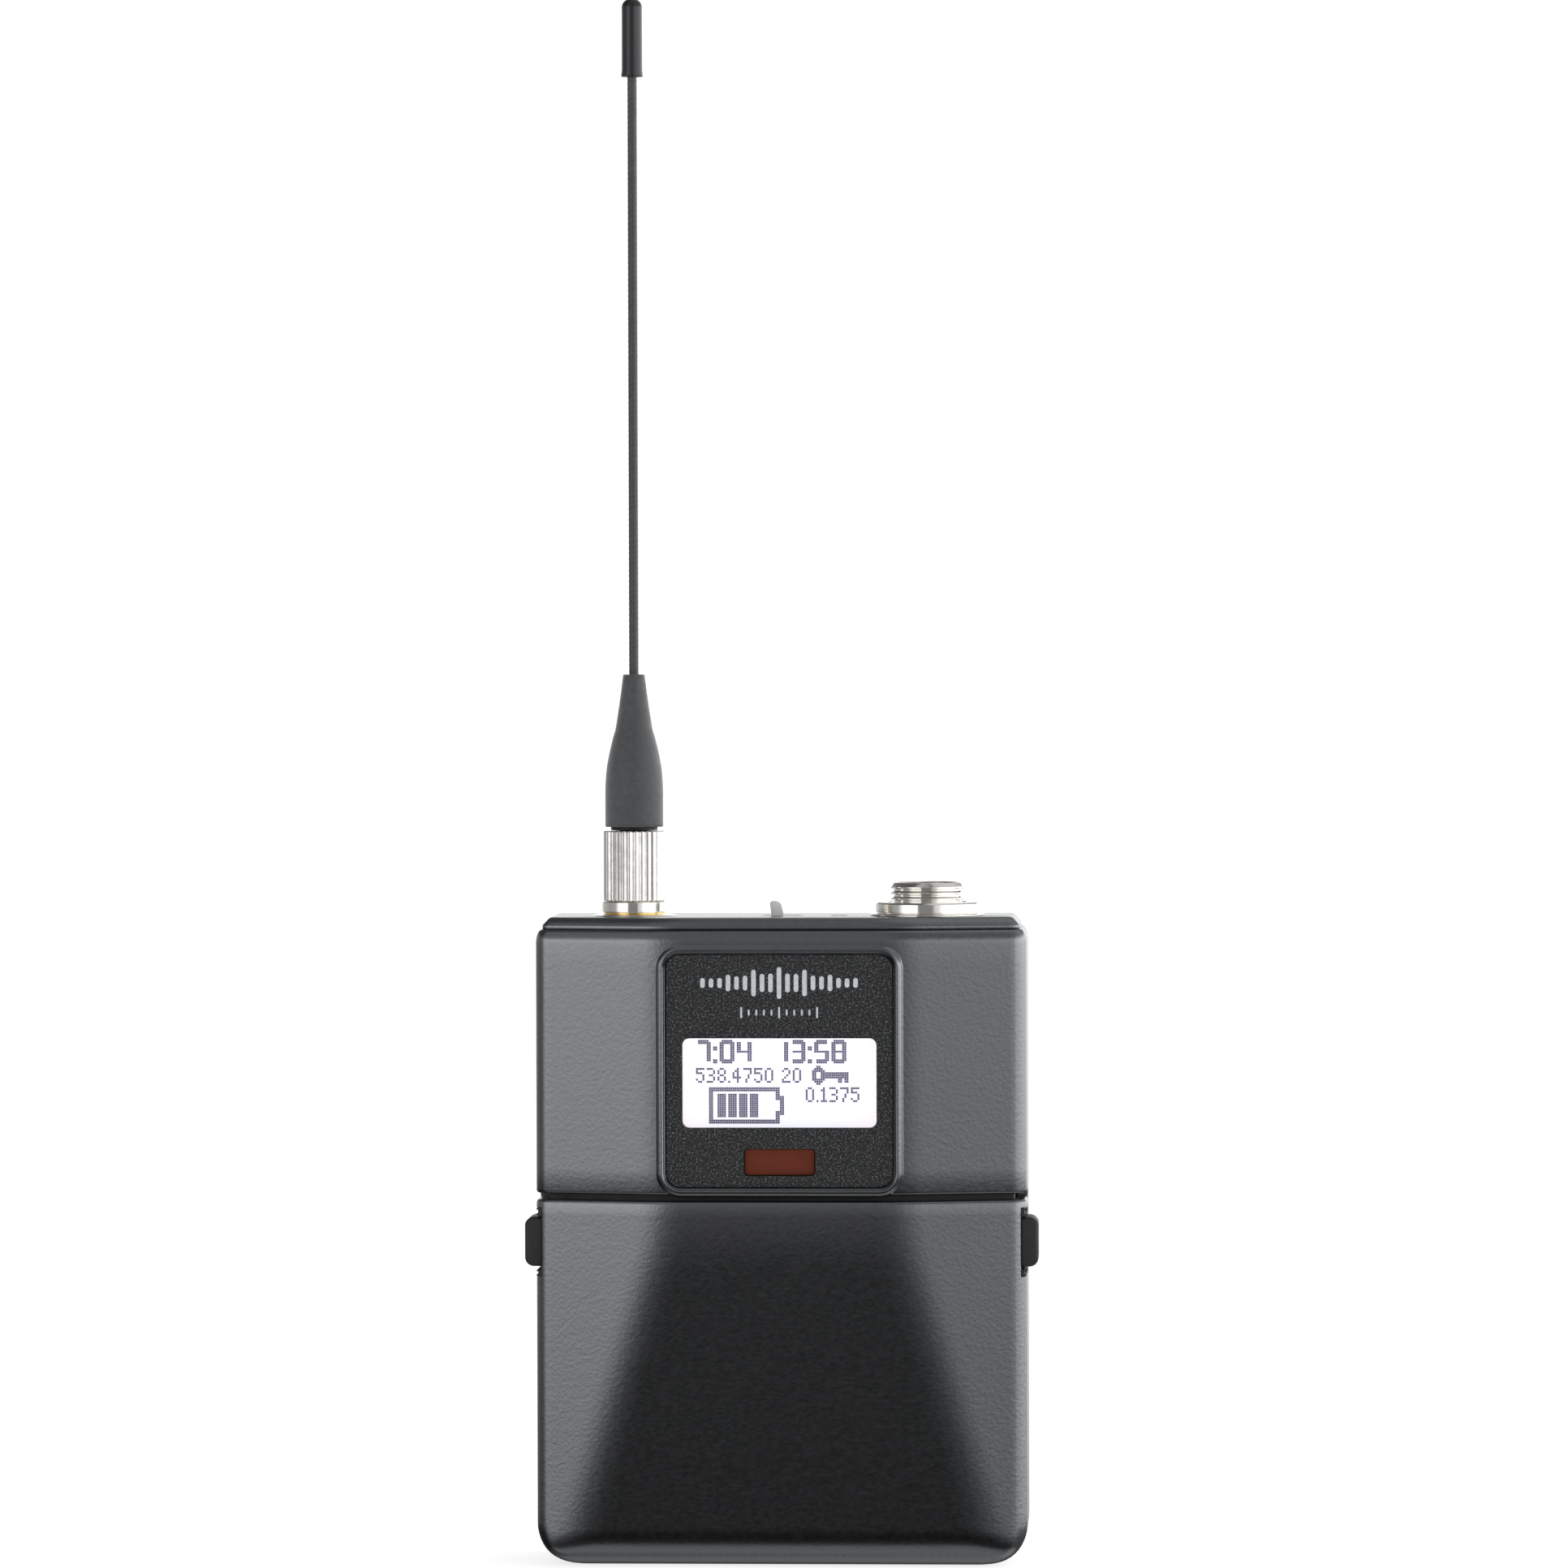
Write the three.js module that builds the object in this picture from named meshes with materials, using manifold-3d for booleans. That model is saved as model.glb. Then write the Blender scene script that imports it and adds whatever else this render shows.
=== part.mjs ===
// Wireless guitar transmitter: a belt-worn pack with a whip antenna, a display and two battery cells.
// Millimetres, +Z up, the display faces -Y. The origin is on the flat bottom face, at mid-width.

import * as THREE from 'three';
import * as BufferGeometryUtils from 'three/addons/utils/BufferGeometryUtils.js';
import Module from 'manifold-3d';

const wasm = await Module();
wasm.setup();

// ---------- Driving dimensions ----------

// Case: two cast shells, a top cap and a battery door share this outer form
const CASE_WIDTH = 65;
const CASE_HEIGHT = 86;
const FACE_Y = -11.2;
const BACK_Y = 11.5;
const WALL = 1.5;
const HALF_WIDTH = CASE_WIDTH / 2;
const CREASE_X = 15.6;
const FACET_SLOPE = Math.tan(THREE.MathUtils.degToRad(12.8));
const DOOR_SLOPE = 2.6 / 44;
const SIDE_ROUND = 1.6;
const BACK_ROUND = 2.5;
const FOOT_CORNER_ROUND = 5.2;
const FOOT_FRONT_ROUND = 5.1;
const FOOT_BACK_ROUND = 3;
const TOP_CHAMFER_X = 2.3;
const TOP_CHAMFER_Z = 2.6;

// Seams between the shells
const SEAM_Y = 0.9;
const SEAM_GAP = 0.3;
const PARTING_Z = 49.1;
const PARTING_GAP = 0.8;
const CAP_BOTTOM = 84.35;
const CAP_GAP = 0.1;
const DOOR_TOP = PARTING_Z - PARTING_GAP / 2;
const UPPER_BOTTOM = PARTING_Z + PARTING_GAP / 2;

// Battery door hinge
const HINGE_Y = -5.2;
const HINGE_Z = 2.6;
const DOOR_BARREL_R = 1.9;
const DOOR_BARREL_HALF = 28;
const EAR_R = 1.5;
const EAR_END_X = 29.7;
const EAR_TOP_Z = 4.5;
const DOOR_HEEL = 0.8;
const HINGE_PIN_R = 0.75;
const HINGE_BORE_R = 0.95;
const HINGE_PIN_START = 24.1;
const FOOT_STRIP_Y = -2.4;
const SIDE_STEP_Z = 5.5;

// Display
const RIM_Y = -11.5;
const RIM_WIDTH = 32.3;
const RIM_HEIGHT = 32.4;
const PANEL_WIDTH = 29.9;
const PANEL_HEIGHT = 30.7;
const PANEL_Z = 65.9;
const PANEL_FRONT = -11.05;
const PANEL_BACK = -10.15;
const SCREEN_WIDTH = 25.6;
const SCREEN_HEIGHT = 11.8;
const SCREEN_Z = 64.3;
const WINDOW_Y = [-10.1, -9.35];
const LCD_Y = [-9.25, -7.2];
const BACKLIGHT_Y = [-7.15, -6];
const DISPLAY_BOARD_Y = [-5.9, -4.9];
const DISPLAY_BOARD_HALF_WIDTH = 15;
const DISPLAY_BOARD_Z = [51.6, 73];
const INFRARED_WIDTH = 9.45;
const INFRARED_HEIGHT = 3.65;
const INFRARED_Z = 53.85;

// Sockets and switch on the top cap
const ANTENNA_X = -19.75;
const INPUT_X = 19.25;
const SWITCH_X = -0.8;
const SWITCH_BODY_BOTTOM = 79.4;
const SWITCH_CHANNEL_Z = 81;
const KNOB_FOOT_TOP = 83.4;
const LED_X = 7.5;
const LED_BOTTOM = 80;
const INPUT_TOP = 90.4;
const INPUT_BARREL_R = 4.95;
const THREAD_PITCH = 0.75;
const ANTENNA_BARREL_R = 3.1;
const ANTENNA_BARREL_TOP = 94.2;

// Whip antenna, from its nut to its tip
const NUT_BOTTOM = 87.98;
const NUT_TOP = 97.3;
const NUT_R = 4.1;
const NUT_FLUTES = 28;
const BOOT_BOTTOM = 97.85;
const BOOT_TOP = 118.1;
const WHIP_R = 0.62;
const TIP_R = 1.37;
const TIP_BOTTOM = 197.5;
const TIP_TOP = 207.9;

// Batteries: two AA cells lying across the case
const CELL_R = 7.1;
const CELL_LENGTH = 50.5;
const CELL_Y = 1.7;
const LOWER_CELL_Z = 13;
const UPPER_CELL_Z = 28.2;
const TRAY_INNER_X = 28.4;
const TRAY_Y = [-4.4, 9.6];
const TRAY_Z = [4.95, 36.3];
const TRAY_WALL = 0.6;
const TRAY_END = 1;

// Keys behind the door, and the latches at the ends of the same strip
const KEY_Z = 42.6;
const KEY_SPACING = 10.4;
const KEY_WIDTH = 6.4;
const KEY_HEIGHT = 3.8;
const KEY_FRONT = -6.2;
const KEY_FRAME_Y = [-4.4, -3];
const KEY_FRAME_Z = [37.5, 47.8];
const LATCH_Y = -3.6;
const LATCH_Z = 43.05;
const LATCH_WIDTH = 6.6;
const LATCH_HEIGHT = 6.55;
const LATCH_OUTER_X = 34;
const LATCH_INNER_X = 30.4;
const SLOT_HEIGHT = 9;
const SPRING_SEAT_X = 24.2;

// Main board and screws
const BOARD_Y = 0.6;
const BOARD_THICKNESS = 1.2;
const BOARD_HALF_WIDTH = 24;
const BOARD_Z = [37.6, 77.5];
const SHIELD_HALF_WIDTH = 16;
const SHIELD_Z = [51, 76];
const SHIELD_DEPTH = 3.4;
const SHIELD_SHEET = 0.4;
const SCREW_X = 28.3;
const SCREW_ROWS = [54.5, 79];

// Belt clip
const CLIP_PIVOT_Y = 14;
const CLIP_PIVOT_Z = 72;
const CLIP_WIRE_R = 1;
const CLIP_ARM_X = 16.4;
const BRACKET_HALF = 12.8;
const BRACKET_THICKNESS = 1;
const BRACKET_Z = [64, 78];
const BRACKET_EAR_Z = [67.5, 76.5];
const BRACKET_EAR_Y = 16.6;
const CLIP_FOOT_Y = 19;
const CLIP_FOOT_Z = 23;

// ---------- Colours ----------

const CASE_PAINT = [0x4d5154, 0.45, 0.6];
const BLACK_PLASTIC = [0x17181a, 0.6, 0];
const RUBBER = [0x2b2d2f, 0.85, 0];
const NICKEL = [0xd8d3cc, 0.22, 1];
const GOLD = [0xd9b25f, 0.25, 1];
const STEEL = [0xa9abad, 0.35, 1];
const BOARD_GREEN = [0x1f5a3a, 0.6, 0];
const LIGHT_GREY = [0xb9bcc2, 0.5, 0];
const SCREEN_WHITE = [0xf4f1fa, 0.3, 0];
const INFRARED_RED = [0x5a2a1e, 0.25, 0];
const CELL_WRAP = [0x1c1d20, 0.35, 0.3];

// ---------- Shape helpers ----------

const model = new THREE.Group();

// A named sub-part with a material of its own
function part(name, geometry, [color, roughness, metalness]) {
  const material = new THREE.MeshStandardMaterial({ color, roughness, metalness });
  const mesh = new THREE.Mesh(geometry, material);
  mesh.name = name;
  model.add(mesh);
  return mesh;
}

function toSolid(geometry) {
  const bare = geometry.clone();
  bare.deleteAttribute('normal');
  bare.deleteAttribute('uv');
  const merged = BufferGeometryUtils.mergeVertices(bare, 1e-4);
  const mesh = new wasm.Mesh({
    numProp: 3,
    vertProperties: merged.attributes.position.array,
    triVerts: Uint32Array.from(merged.index.array),
  });
  return new wasm.Manifold(mesh);
}

function toGeometry(solid) {
  const mesh = solid.getMesh();
  const geometry = new THREE.BufferGeometry();
  geometry.setAttribute('position', new THREE.BufferAttribute(mesh.vertProperties, 3));
  geometry.setIndex(new THREE.BufferAttribute(mesh.triVerts, 1));
  geometry.computeVertexNormals();
  return geometry;
}

function join(...solids) {
  return solids.reduce((sum, solid) => sum.add(solid));
}

function cut(solid, ...tools) {
  return tools.reduce((rest, tool) => rest.subtract(tool), solid);
}

function block([x0, x1], [y0, y1], [z0, z1]) {
  const geometry = new THREE.BoxGeometry(x1 - x0, y1 - y0, z1 - z0);
  return geometry.translate((x0 + x1) / 2, (y0 + y1) / 2, (z0 + z1) / 2);
}

// An outline from its corners [u, v, radius]; each rounded corner is an arc of a few steps
function roundedShape(corners, steps = 4) {
  const points = [];
  corners.forEach(([u, v, radius = 0], index) => {
    const corner = new THREE.Vector2(u, v);
    if (radius === 0) {
      points.push(corner);
      return;
    }
    const [backU, backV] = corners.at(index - 1);
    const [nextU, nextV] = corners[(index + 1) % corners.length];
    const back = new THREE.Vector2(backU, backV).sub(corner).normalize();
    const ahead = new THREE.Vector2(nextU, nextV).sub(corner).normalize();
    const half = Math.acos(back.dot(ahead)) / 2;
    const middle = back.clone().add(ahead).normalize();
    const centre = corner.clone().addScaledVector(middle, radius / Math.sin(half));
    const start = corner.clone().addScaledVector(back, radius / Math.tan(half)).sub(centre);
    const turn = (Math.PI - 2 * half) * Math.sign(ahead.cross(back));
    for (let step = 0; step <= steps; step++) {
      const arm = start.clone().rotateAround(new THREE.Vector2(), (turn * step) / steps);
      points.push(arm.add(centre));
    }
  });
  return new THREE.Shape(points);
}

function roundedRectangle(width, height, radius, steps = 4) {
  const u = width / 2;
  const v = height / 2;
  return roundedShape([[-u, -v, radius], [u, -v, radius], [u, v, radius], [-u, v, radius]], steps);
}

function prismAlongZ(shape, z0, z1) {
  const geometry = new THREE.ExtrudeGeometry(shape, { depth: z1 - z0, bevelEnabled: false });
  return geometry.translate(0, 0, z0);
}

// The shape's u runs along +X and its v along +Z
function prismAlongY(shape, y0, y1) {
  const geometry = new THREE.ExtrudeGeometry(shape, { depth: y1 - y0, bevelEnabled: false });
  return geometry.rotateX(Math.PI / 2).translate(0, y1, 0);
}

// The shape's u runs along +Y and its v along +Z
function prismAlongX(shape, x0, x1) {
  const geometry = new THREE.ExtrudeGeometry(shape, { depth: x1 - x0, bevelEnabled: false });
  return geometry.rotateX(Math.PI / 2).rotateZ(Math.PI / 2).translate(x0, 0, 0);
}

function rodAlongZ(radius, [x, y], [z0, z1], sides = 24) {
  const geometry = new THREE.CylinderGeometry(radius, radius, z1 - z0, sides);
  return geometry.rotateX(Math.PI / 2).translate(x, y, (z0 + z1) / 2);
}

function rodAlongY(radius, [x, z], [y0, y1], sides = 16) {
  const geometry = new THREE.CylinderGeometry(radius, radius, y1 - y0, sides);
  return geometry.translate(x, (y0 + y1) / 2, z);
}

function rodAlongX(radius, [y, z], [x0, x1], sides = 16) {
  const geometry = new THREE.CylinderGeometry(radius, radius, x1 - x0, sides);
  return geometry.rotateZ(Math.PI / 2).translate((x0 + x1) / 2, y, z);
}

// Turns a profile of [radius, z] points about a vertical axis at x, y
function turned(profile, [x, y], sides = 24) {
  const points = profile.map(([radius, z]) => new THREE.Vector2(radius, z));
  return new THREE.LatheGeometry(points, sides).rotateX(Math.PI / 2).translate(x, y, 0);
}

// A ring between two radii, its profile closed on itself
function ring(inner, outer, z0, z1, centre, chamfer = 0.15) {
  const profile = [
    [inner, z0],
    [outer - chamfer, z0],
    [outer, z0 + chamfer],
    [outer, z1 - chamfer],
    [outer - chamfer, z1],
    [inner, z1],
    [inner, z0],
  ];
  return turned(profile, centre, 24);
}

// ---------- The case's outer form ----------

// Section seen from above: a flat centre, a facet to each side that falls back, and round edges
function planShape(inset) {
  const side = HALF_WIDTH - inset;
  const facetInset = inset * Math.hypot(1, FACET_SLOPE);
  const creaseX = CREASE_X - (facetInset - inset) / FACET_SLOPE;
  const sideY = FACE_Y + facetInset + (side - CREASE_X) * FACET_SLOPE;
  const backRound = Math.max(BACK_ROUND - inset, 0.5);
  return roundedShape([
    [-creaseX, FACE_Y + inset],
    [creaseX, FACE_Y + inset],
    [side, sideY, Math.max(SIDE_ROUND - inset, 0.4)],
    [side, BACK_Y - inset, backRound],
    [-side, BACK_Y - inset, backRound],
    [-side, sideY, Math.max(SIDE_ROUND - inset, 0.4)],
  ]);
}

// Outline seen from the front: round bottom corners, bevelled top corners
function frontShape(inset) {
  const side = HALF_WIDTH - inset;
  const top = CASE_HEIGHT - inset;
  const round = FOOT_CORNER_ROUND - inset;
  return roundedShape([
    [-side, inset, round],
    [side, inset, round],
    [side, top - TOP_CHAMFER_Z, 0.8],
    [side - TOP_CHAMFER_X, top, 0.5],
    [-side + TOP_CHAMFER_X, top, 0.5],
    [-side, top - TOP_CHAMFER_Z, 0.8],
  ]);
}

// Section seen from the side: upright above the parting, sloping back below it, round at the foot
function sideShape(inset) {
  const front = FACE_Y + inset;
  const top = CASE_HEIGHT - inset;
  return roundedShape([
    [front, PARTING_Z],
    [front + PARTING_Z * DOOR_SLOPE, inset, FOOT_FRONT_ROUND - inset],
    [BACK_Y - inset, inset, Math.max(FOOT_BACK_ROUND - inset, 1)],
    [BACK_Y - inset, top, 0.6],
    [front, top, 0.8],
  ]);
}

function caseForm(inset) {
  const margin = 1;
  const plan = toSolid(prismAlongZ(planShape(inset), -margin, CASE_HEIGHT + margin));
  const front = toSolid(prismAlongY(frontShape(inset), -BACK_Y - margin, BACK_Y + margin));
  const side = toSolid(prismAlongX(sideShape(inset), -HALF_WIDTH - margin, HALF_WIDTH + margin));
  return plan.intersect(front).intersect(side);
}

const OUTSIDE = caseForm(0);
const INSIDE = caseForm(WALL);
const ACROSS = [-HALF_WIDTH - 1, HALF_WIDTH + 1];

// ---------- Case shells ----------

const CASE_SCREWS = SCREW_ROWS.flatMap((z) => [[-SCREW_X, z], [SCREW_X, z]]);
const SCREW_BOSS_R = 2.2;
const SCREW_BOSS_END = 8.2;
const SCREW_HEAD_R = 2;
const SCREW_HEAD_SEAT = 10.2;

function clipScrewPlaces() {
  return [-6, 6].map((x) => [x, CLIP_PIVOT_Z - 1]);
}

function frontHousing() {
  const shelfDepth = 4.5;
  const slab = toSolid(block(ACROSS, [-BACK_Y - 1, SEAM_Y], [UPPER_BOTTOM, CAP_BOTTOM - CAP_GAP]));
  const rimShape = roundedRectangle(RIM_WIDTH, RIM_HEIGHT, 2.7);
  const rim = toSolid(prismAlongY(rimShape, RIM_Y, FACE_Y + 1).translate(0, 0, PANEL_Z + 0.07));
  const shelf = toSolid(
    block(ACROSS, [FACE_Y, FACE_Y + WALL + shelfDepth], [UPPER_BOTTOM, UPPER_BOTTOM + WALL]),
  );
  const room = cut(INSIDE, shelf);
  const bosses = CASE_SCREWS.map((place) =>
    toSolid(rodAlongY(SCREW_BOSS_R, place, [FACE_Y + 3.9, SCREW_BOSS_END])));
  const pilots = CASE_SCREWS.map((place) =>
    toSolid(rodAlongY(0.9, place, [SCREW_BOSS_END - 6, SCREW_BOSS_END + 1], 12)));
  const seatShape = roundedRectangle(PANEL_WIDTH + 0.3, PANEL_HEIGHT + 0.3, 2);
  const seat = toSolid(prismAlongY(seatShape, RIM_Y - 1, PANEL_BACK + 0.05).translate(0, 0, PANEL_Z));
  const openingShape = roundedRectangle(PANEL_WIDTH - 2.3, PANEL_HEIGHT - 2.3, 1);
  const opening = toSolid(prismAlongY(openingShape, RIM_Y - 1, FACE_Y + 3).translate(0, 0, PANEL_Z));
  const shell = cut(join(OUTSIDE.intersect(slab), rim), room, seat, opening);
  return cut(join(shell, ...bosses), ...pilots);
}

function rearHousing() {
  const rearY = SEAM_Y + SEAM_GAP;
  const upright = block(ACROSS, [rearY, BACK_Y + 1], [-1, CAP_BOTTOM - CAP_GAP]);
  const foot = block(ACROSS, [FOOT_STRIP_Y, BACK_Y + 1], [-1, SIDE_STEP_Z]);
  const keep = join(toSolid(upright), toSolid(foot));
  const shell = cut(OUTSIDE.intersect(keep), INSIDE);
  const pads = CASE_SCREWS.map((place) =>
    toSolid(rodAlongY(2.9, place, [SCREW_BOSS_END + 0.3, BACK_Y - 0.5])).intersect(OUTSIDE));
  const throughHoles = CASE_SCREWS.map((place) => toSolid(rodAlongY(1.2, place, [6, 13], 12)));
  const headPockets = CASE_SCREWS.map((place) =>
    toSolid(rodAlongY(SCREW_HEAD_R + 0.3, place, [SCREW_HEAD_SEAT, 13])));
  const clipHoles = clipScrewPlaces().map((place) => toSolid(rodAlongY(1.2, place, [8, 13], 12)));
  const ears = [-1, 1].map((sign) => {
    const span = [sign * (DOOR_BARREL_HALF + 0.3), sign * EAR_END_X].sort((a, b) => a - b);
    const barrel = toSolid(rodAlongX(EAR_R, [HINGE_Y, HINGE_Z], span));
    const arm = roundedShape([
      [HINGE_Y, HINGE_Z + 0.6],
      [FOOT_STRIP_Y, HINGE_Z + 1.6],
      [FOOT_STRIP_Y, WALL / 3],
      [FOOT_STRIP_Y + WALL, WALL / 3],
      [FOOT_STRIP_Y + WALL, EAR_TOP_Z],
      [HINGE_Y, EAR_TOP_Z],
    ]);
    return join(barrel, toSolid(prismAlongX(arm, ...span))).intersect(OUTSIDE);
  });
  const pinBores = [-1, 1].map((sign) => {
    const span = [sign * DOOR_BARREL_HALF, sign * (EAR_END_X + 0.5)].sort((a, b) => a - b);
    return toSolid(rodAlongX(HINGE_BORE_R, [HINGE_Y, HINGE_Z], span, 12));
  });
  return cut(join(shell, ...pads, ...ears), ...throughHoles, ...headPockets, ...clipHoles, ...pinBores);
}

function topCap() {
  const slab = toSolid(block(ACROSS, [-BACK_Y - 1, BACK_Y + 1], [CAP_BOTTOM, CASE_HEIGHT + 1]));
  const ribs = [-1, 1].map((sign) =>
    toSolid(block([sign * 28.2 - 0.6, sign * 28.2 + 0.6], [-5.5, 7.5], [82.4, CAP_BOTTOM + 0.5])));
  const through = [CAP_BOTTOM - 1, CASE_HEIGHT + 1];
  const antennaHole = toSolid(rodAlongZ(ANTENNA_BARREL_R + 0.3, [ANTENNA_X, 0], through));
  const inputHole = toSolid(rodAlongZ(INPUT_BARREL_R + 0.3, [INPUT_X, 0], through));
  const switchSlot = toSolid(prismAlongZ(roundedRectangle(5.5, 1.9, 0.9, 3), ...through));
  const ledHole = toSolid(rodAlongZ(1.2, [LED_X, 0], through, 16));
  return cut(join(OUTSIDE.intersect(slab), ...ribs), antennaHole, inputHole, switchSlot, ledHole);
}

function batteryDoor() {
  const leaf = block(ACROSS, [-BACK_Y - 1, SEAM_Y], [SIDE_STEP_Z + SEAM_GAP, DOOR_TOP]);
  const foot = block(ACROSS, [-BACK_Y - 1, HINGE_Y], [-1, SIDE_STEP_Z + SEAM_GAP + 0.1]);
  const heel = block(ACROSS, [HINGE_Y - 1, HINGE_Y + DOOR_HEEL], [-1, HINGE_Z]);
  const shell = cut(OUTSIDE.intersect(join(...[leaf, foot, heel].map(toSolid))), INSIDE);
  const barrelSpan = [-DOOR_BARREL_HALF, DOOR_BARREL_HALF];
  const barrel = toSolid(rodAlongX(DOOR_BARREL_R, [HINGE_Y, HINGE_Z], barrelSpan));
  const tools = [-1, 1].flatMap((sign) => {
    const slotX = [sign * DOOR_BARREL_HALF, sign * (HALF_WIDTH + 1)].sort((a, b) => a - b);
    const slotZ = [LATCH_Z - SLOT_HEIGHT / 2, LATCH_Z + SLOT_HEIGHT / 2];
    const earX = [sign * (DOOR_BARREL_HALF + 0.01), sign * (EAR_END_X + 0.3)].sort((a, b) => a - b);
    const pinX = [sign * (HINGE_PIN_START - 0.6), sign * (DOOR_BARREL_HALF + 0.5)].sort((a, b) => a - b);
    return [
      block(slotX, [LATCH_Y - LATCH_WIDTH / 2 - 0.35, SEAM_Y + 1], slotZ),
      rodAlongX(EAR_R + 0.35, [HINGE_Y, HINGE_Z], earX),
      rodAlongX(HINGE_BORE_R, [HINGE_Y, HINGE_Z], pinX, 12),
    ].map(toSolid);
  });
  return cut(join(shell, barrel.intersect(OUTSIDE)), ...tools);
}

part('rear_housing', toGeometry(rearHousing()), CASE_PAINT);
part('front_housing', toGeometry(frontHousing()), CASE_PAINT);
part('top_cap', toGeometry(topCap()), CASE_PAINT);
part('battery_door', toGeometry(batteryDoor()), CASE_PAINT);

for (const [side, sign] of [['left', -1], ['right', 1]]) {
  const span = [sign * HINGE_PIN_START, sign * (EAR_END_X - 0.1)].sort((a, b) => a - b);
  part(`door_hinge_pin_${side}`, rodAlongX(HINGE_PIN_R, [HINGE_Y, HINGE_Z], span, 12), STEEL);
}

// Pan-headed screw with a slot for the driver, its head towards +Y
function screwAlongY([x, z], headY, headR, headHeight, shankR, length) {
  const head = toSolid(rodAlongY(headR, [x, z], [headY, headY + headHeight]));
  const shank = toSolid(rodAlongY(shankR, [x, z], [headY - length, headY + 0.2], 10));
  const across = [x - 0.25, x + 0.25];
  const along = [x - headR * 0.65, x + headR * 0.65];
  const slotY = [headY + headHeight - 0.5, headY + headHeight + 1];
  const upright = toSolid(block(across, slotY, [z - headR * 0.65, z + headR * 0.65]));
  const level = toSolid(block(along, slotY, [z - 0.25, z + 0.25]));
  return toGeometry(cut(join(head, shank), upright, level));
}

CASE_SCREWS.forEach((place, index) => {
  const screw = screwAlongY(place, SCREW_HEAD_SEAT + 0.05, SCREW_HEAD_R, 1, 0.72, 6.5);
  part(`housing_screw_${index + 1}`, screw, STEEL);
});

// ---------- Display ----------

function displayPanel() {
  const shape = roundedRectangle(PANEL_WIDTH, PANEL_HEIGHT, 1.9);
  const plate = toSolid(prismAlongY(shape, PANEL_FRONT, PANEL_BACK).translate(0, 0, PANEL_Z));
  const screenShape = roundedRectangle(SCREEN_WIDTH, SCREEN_HEIGHT, 0.93);
  const screen = toSolid(prismAlongY(screenShape, -13, -9).translate(0, 0, SCREEN_Z));
  const infraredShape = roundedRectangle(INFRARED_WIDTH, INFRARED_HEIGHT, 0.5);
  const infrared = toSolid(prismAlongY(infraredShape, -13, -9).translate(0, 0, INFRARED_Z));
  return toGeometry(cut(plate, screen, infrared));
}

function infraredWindow() {
  const shape = roundedRectangle(INFRARED_WIDTH - 0.2, INFRARED_HEIGHT - 0.2, 0.45);
  return prismAlongY(shape, -10.55, -9).translate(0, 0, INFRARED_Z);
}

function plateAroundScreen(margin, spanY) {
  const halfX = SCREEN_WIDTH / 2 + margin;
  const halfZ = SCREEN_HEIGHT / 2 + margin;
  return block([-halfX, halfX], spanY, [SCREEN_Z - halfZ, SCREEN_Z + halfZ]);
}

part('display_panel', displayPanel(), BLACK_PLASTIC);
part('display_window', plateAroundScreen(0.5, WINDOW_Y), SCREEN_WHITE);
part('lcd_module', plateAroundScreen(1.4, LCD_Y), SCREEN_WHITE);
part('backlight_plate', plateAroundScreen(1.2, BACKLIGHT_Y), SCREEN_WHITE);
part('infrared_window', infraredWindow(), INFRARED_RED);

const DISPLAY_BOARD_X = [-DISPLAY_BOARD_HALF_WIDTH, DISPLAY_BOARD_HALF_WIDTH];
part('display_board', block(DISPLAY_BOARD_X, DISPLAY_BOARD_Y, DISPLAY_BOARD_Z), BOARD_GREEN);

const DIODE_SPAN_Z = [INFRARED_Z - 1.4, INFRARED_Z + 1.4];
const DIODE_SPAN_Y = [DISPLAY_BOARD_Y[0] - 2.3, DISPLAY_BOARD_Y[0] - 0.05];
part('infrared_diode', block([-1.7, 1.7], DIODE_SPAN_Y, DIODE_SPAN_Z), BLACK_PLASTIC);

// ---------- Main board ----------

function mainBoard() {
  const backY = BOARD_Y + BOARD_THICKNESS;
  const board = toSolid(block([-BOARD_HALF_WIDTH, BOARD_HALF_WIDTH], [BOARD_Y, backY], BOARD_Z));
  const component = (x, z, size, height) => {
    const half = size / 2;
    return toSolid(block([x - half, x + half], [BOARD_Y - height, BOARD_Y + 0.1], [z - half, z + half]));
  };
  const chips = [[-8, 55, 7], [7, 58, 9], [-14, 68, 6], [14, 70, 5]].map((chip) => component(...chip, 1.1));
  const keySwitches = keyPlaces().map((x) => component(x, KEY_Z, 3.6, 1.5));
  return toGeometry(join(board, ...chips, ...keySwitches));
}

function shieldCan() {
  const frontY = BOARD_Y + BOARD_THICKNESS + 0.05;
  const box = (inset, startY) => {
    const halfX = SHIELD_HALF_WIDTH - inset;
    const spanZ = [SHIELD_Z[0] + inset, SHIELD_Z[1] - inset];
    return toSolid(block([-halfX, halfX], [startY, frontY + SHIELD_DEPTH - inset], spanZ));
  };
  const can = box(0, frontY);
  const room = box(SHIELD_SHEET, frontY - 1);
  return toGeometry(cut(can, room));
}

function keyPlaces() {
  return [-1.5, -0.5, 0.5, 1.5].map((step) => step * KEY_SPACING);
}

part('main_board', mainBoard(), BOARD_GREEN);
part('rf_shield', shieldCan(), STEEL);

// ---------- Menu keys and their frame ----------

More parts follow.
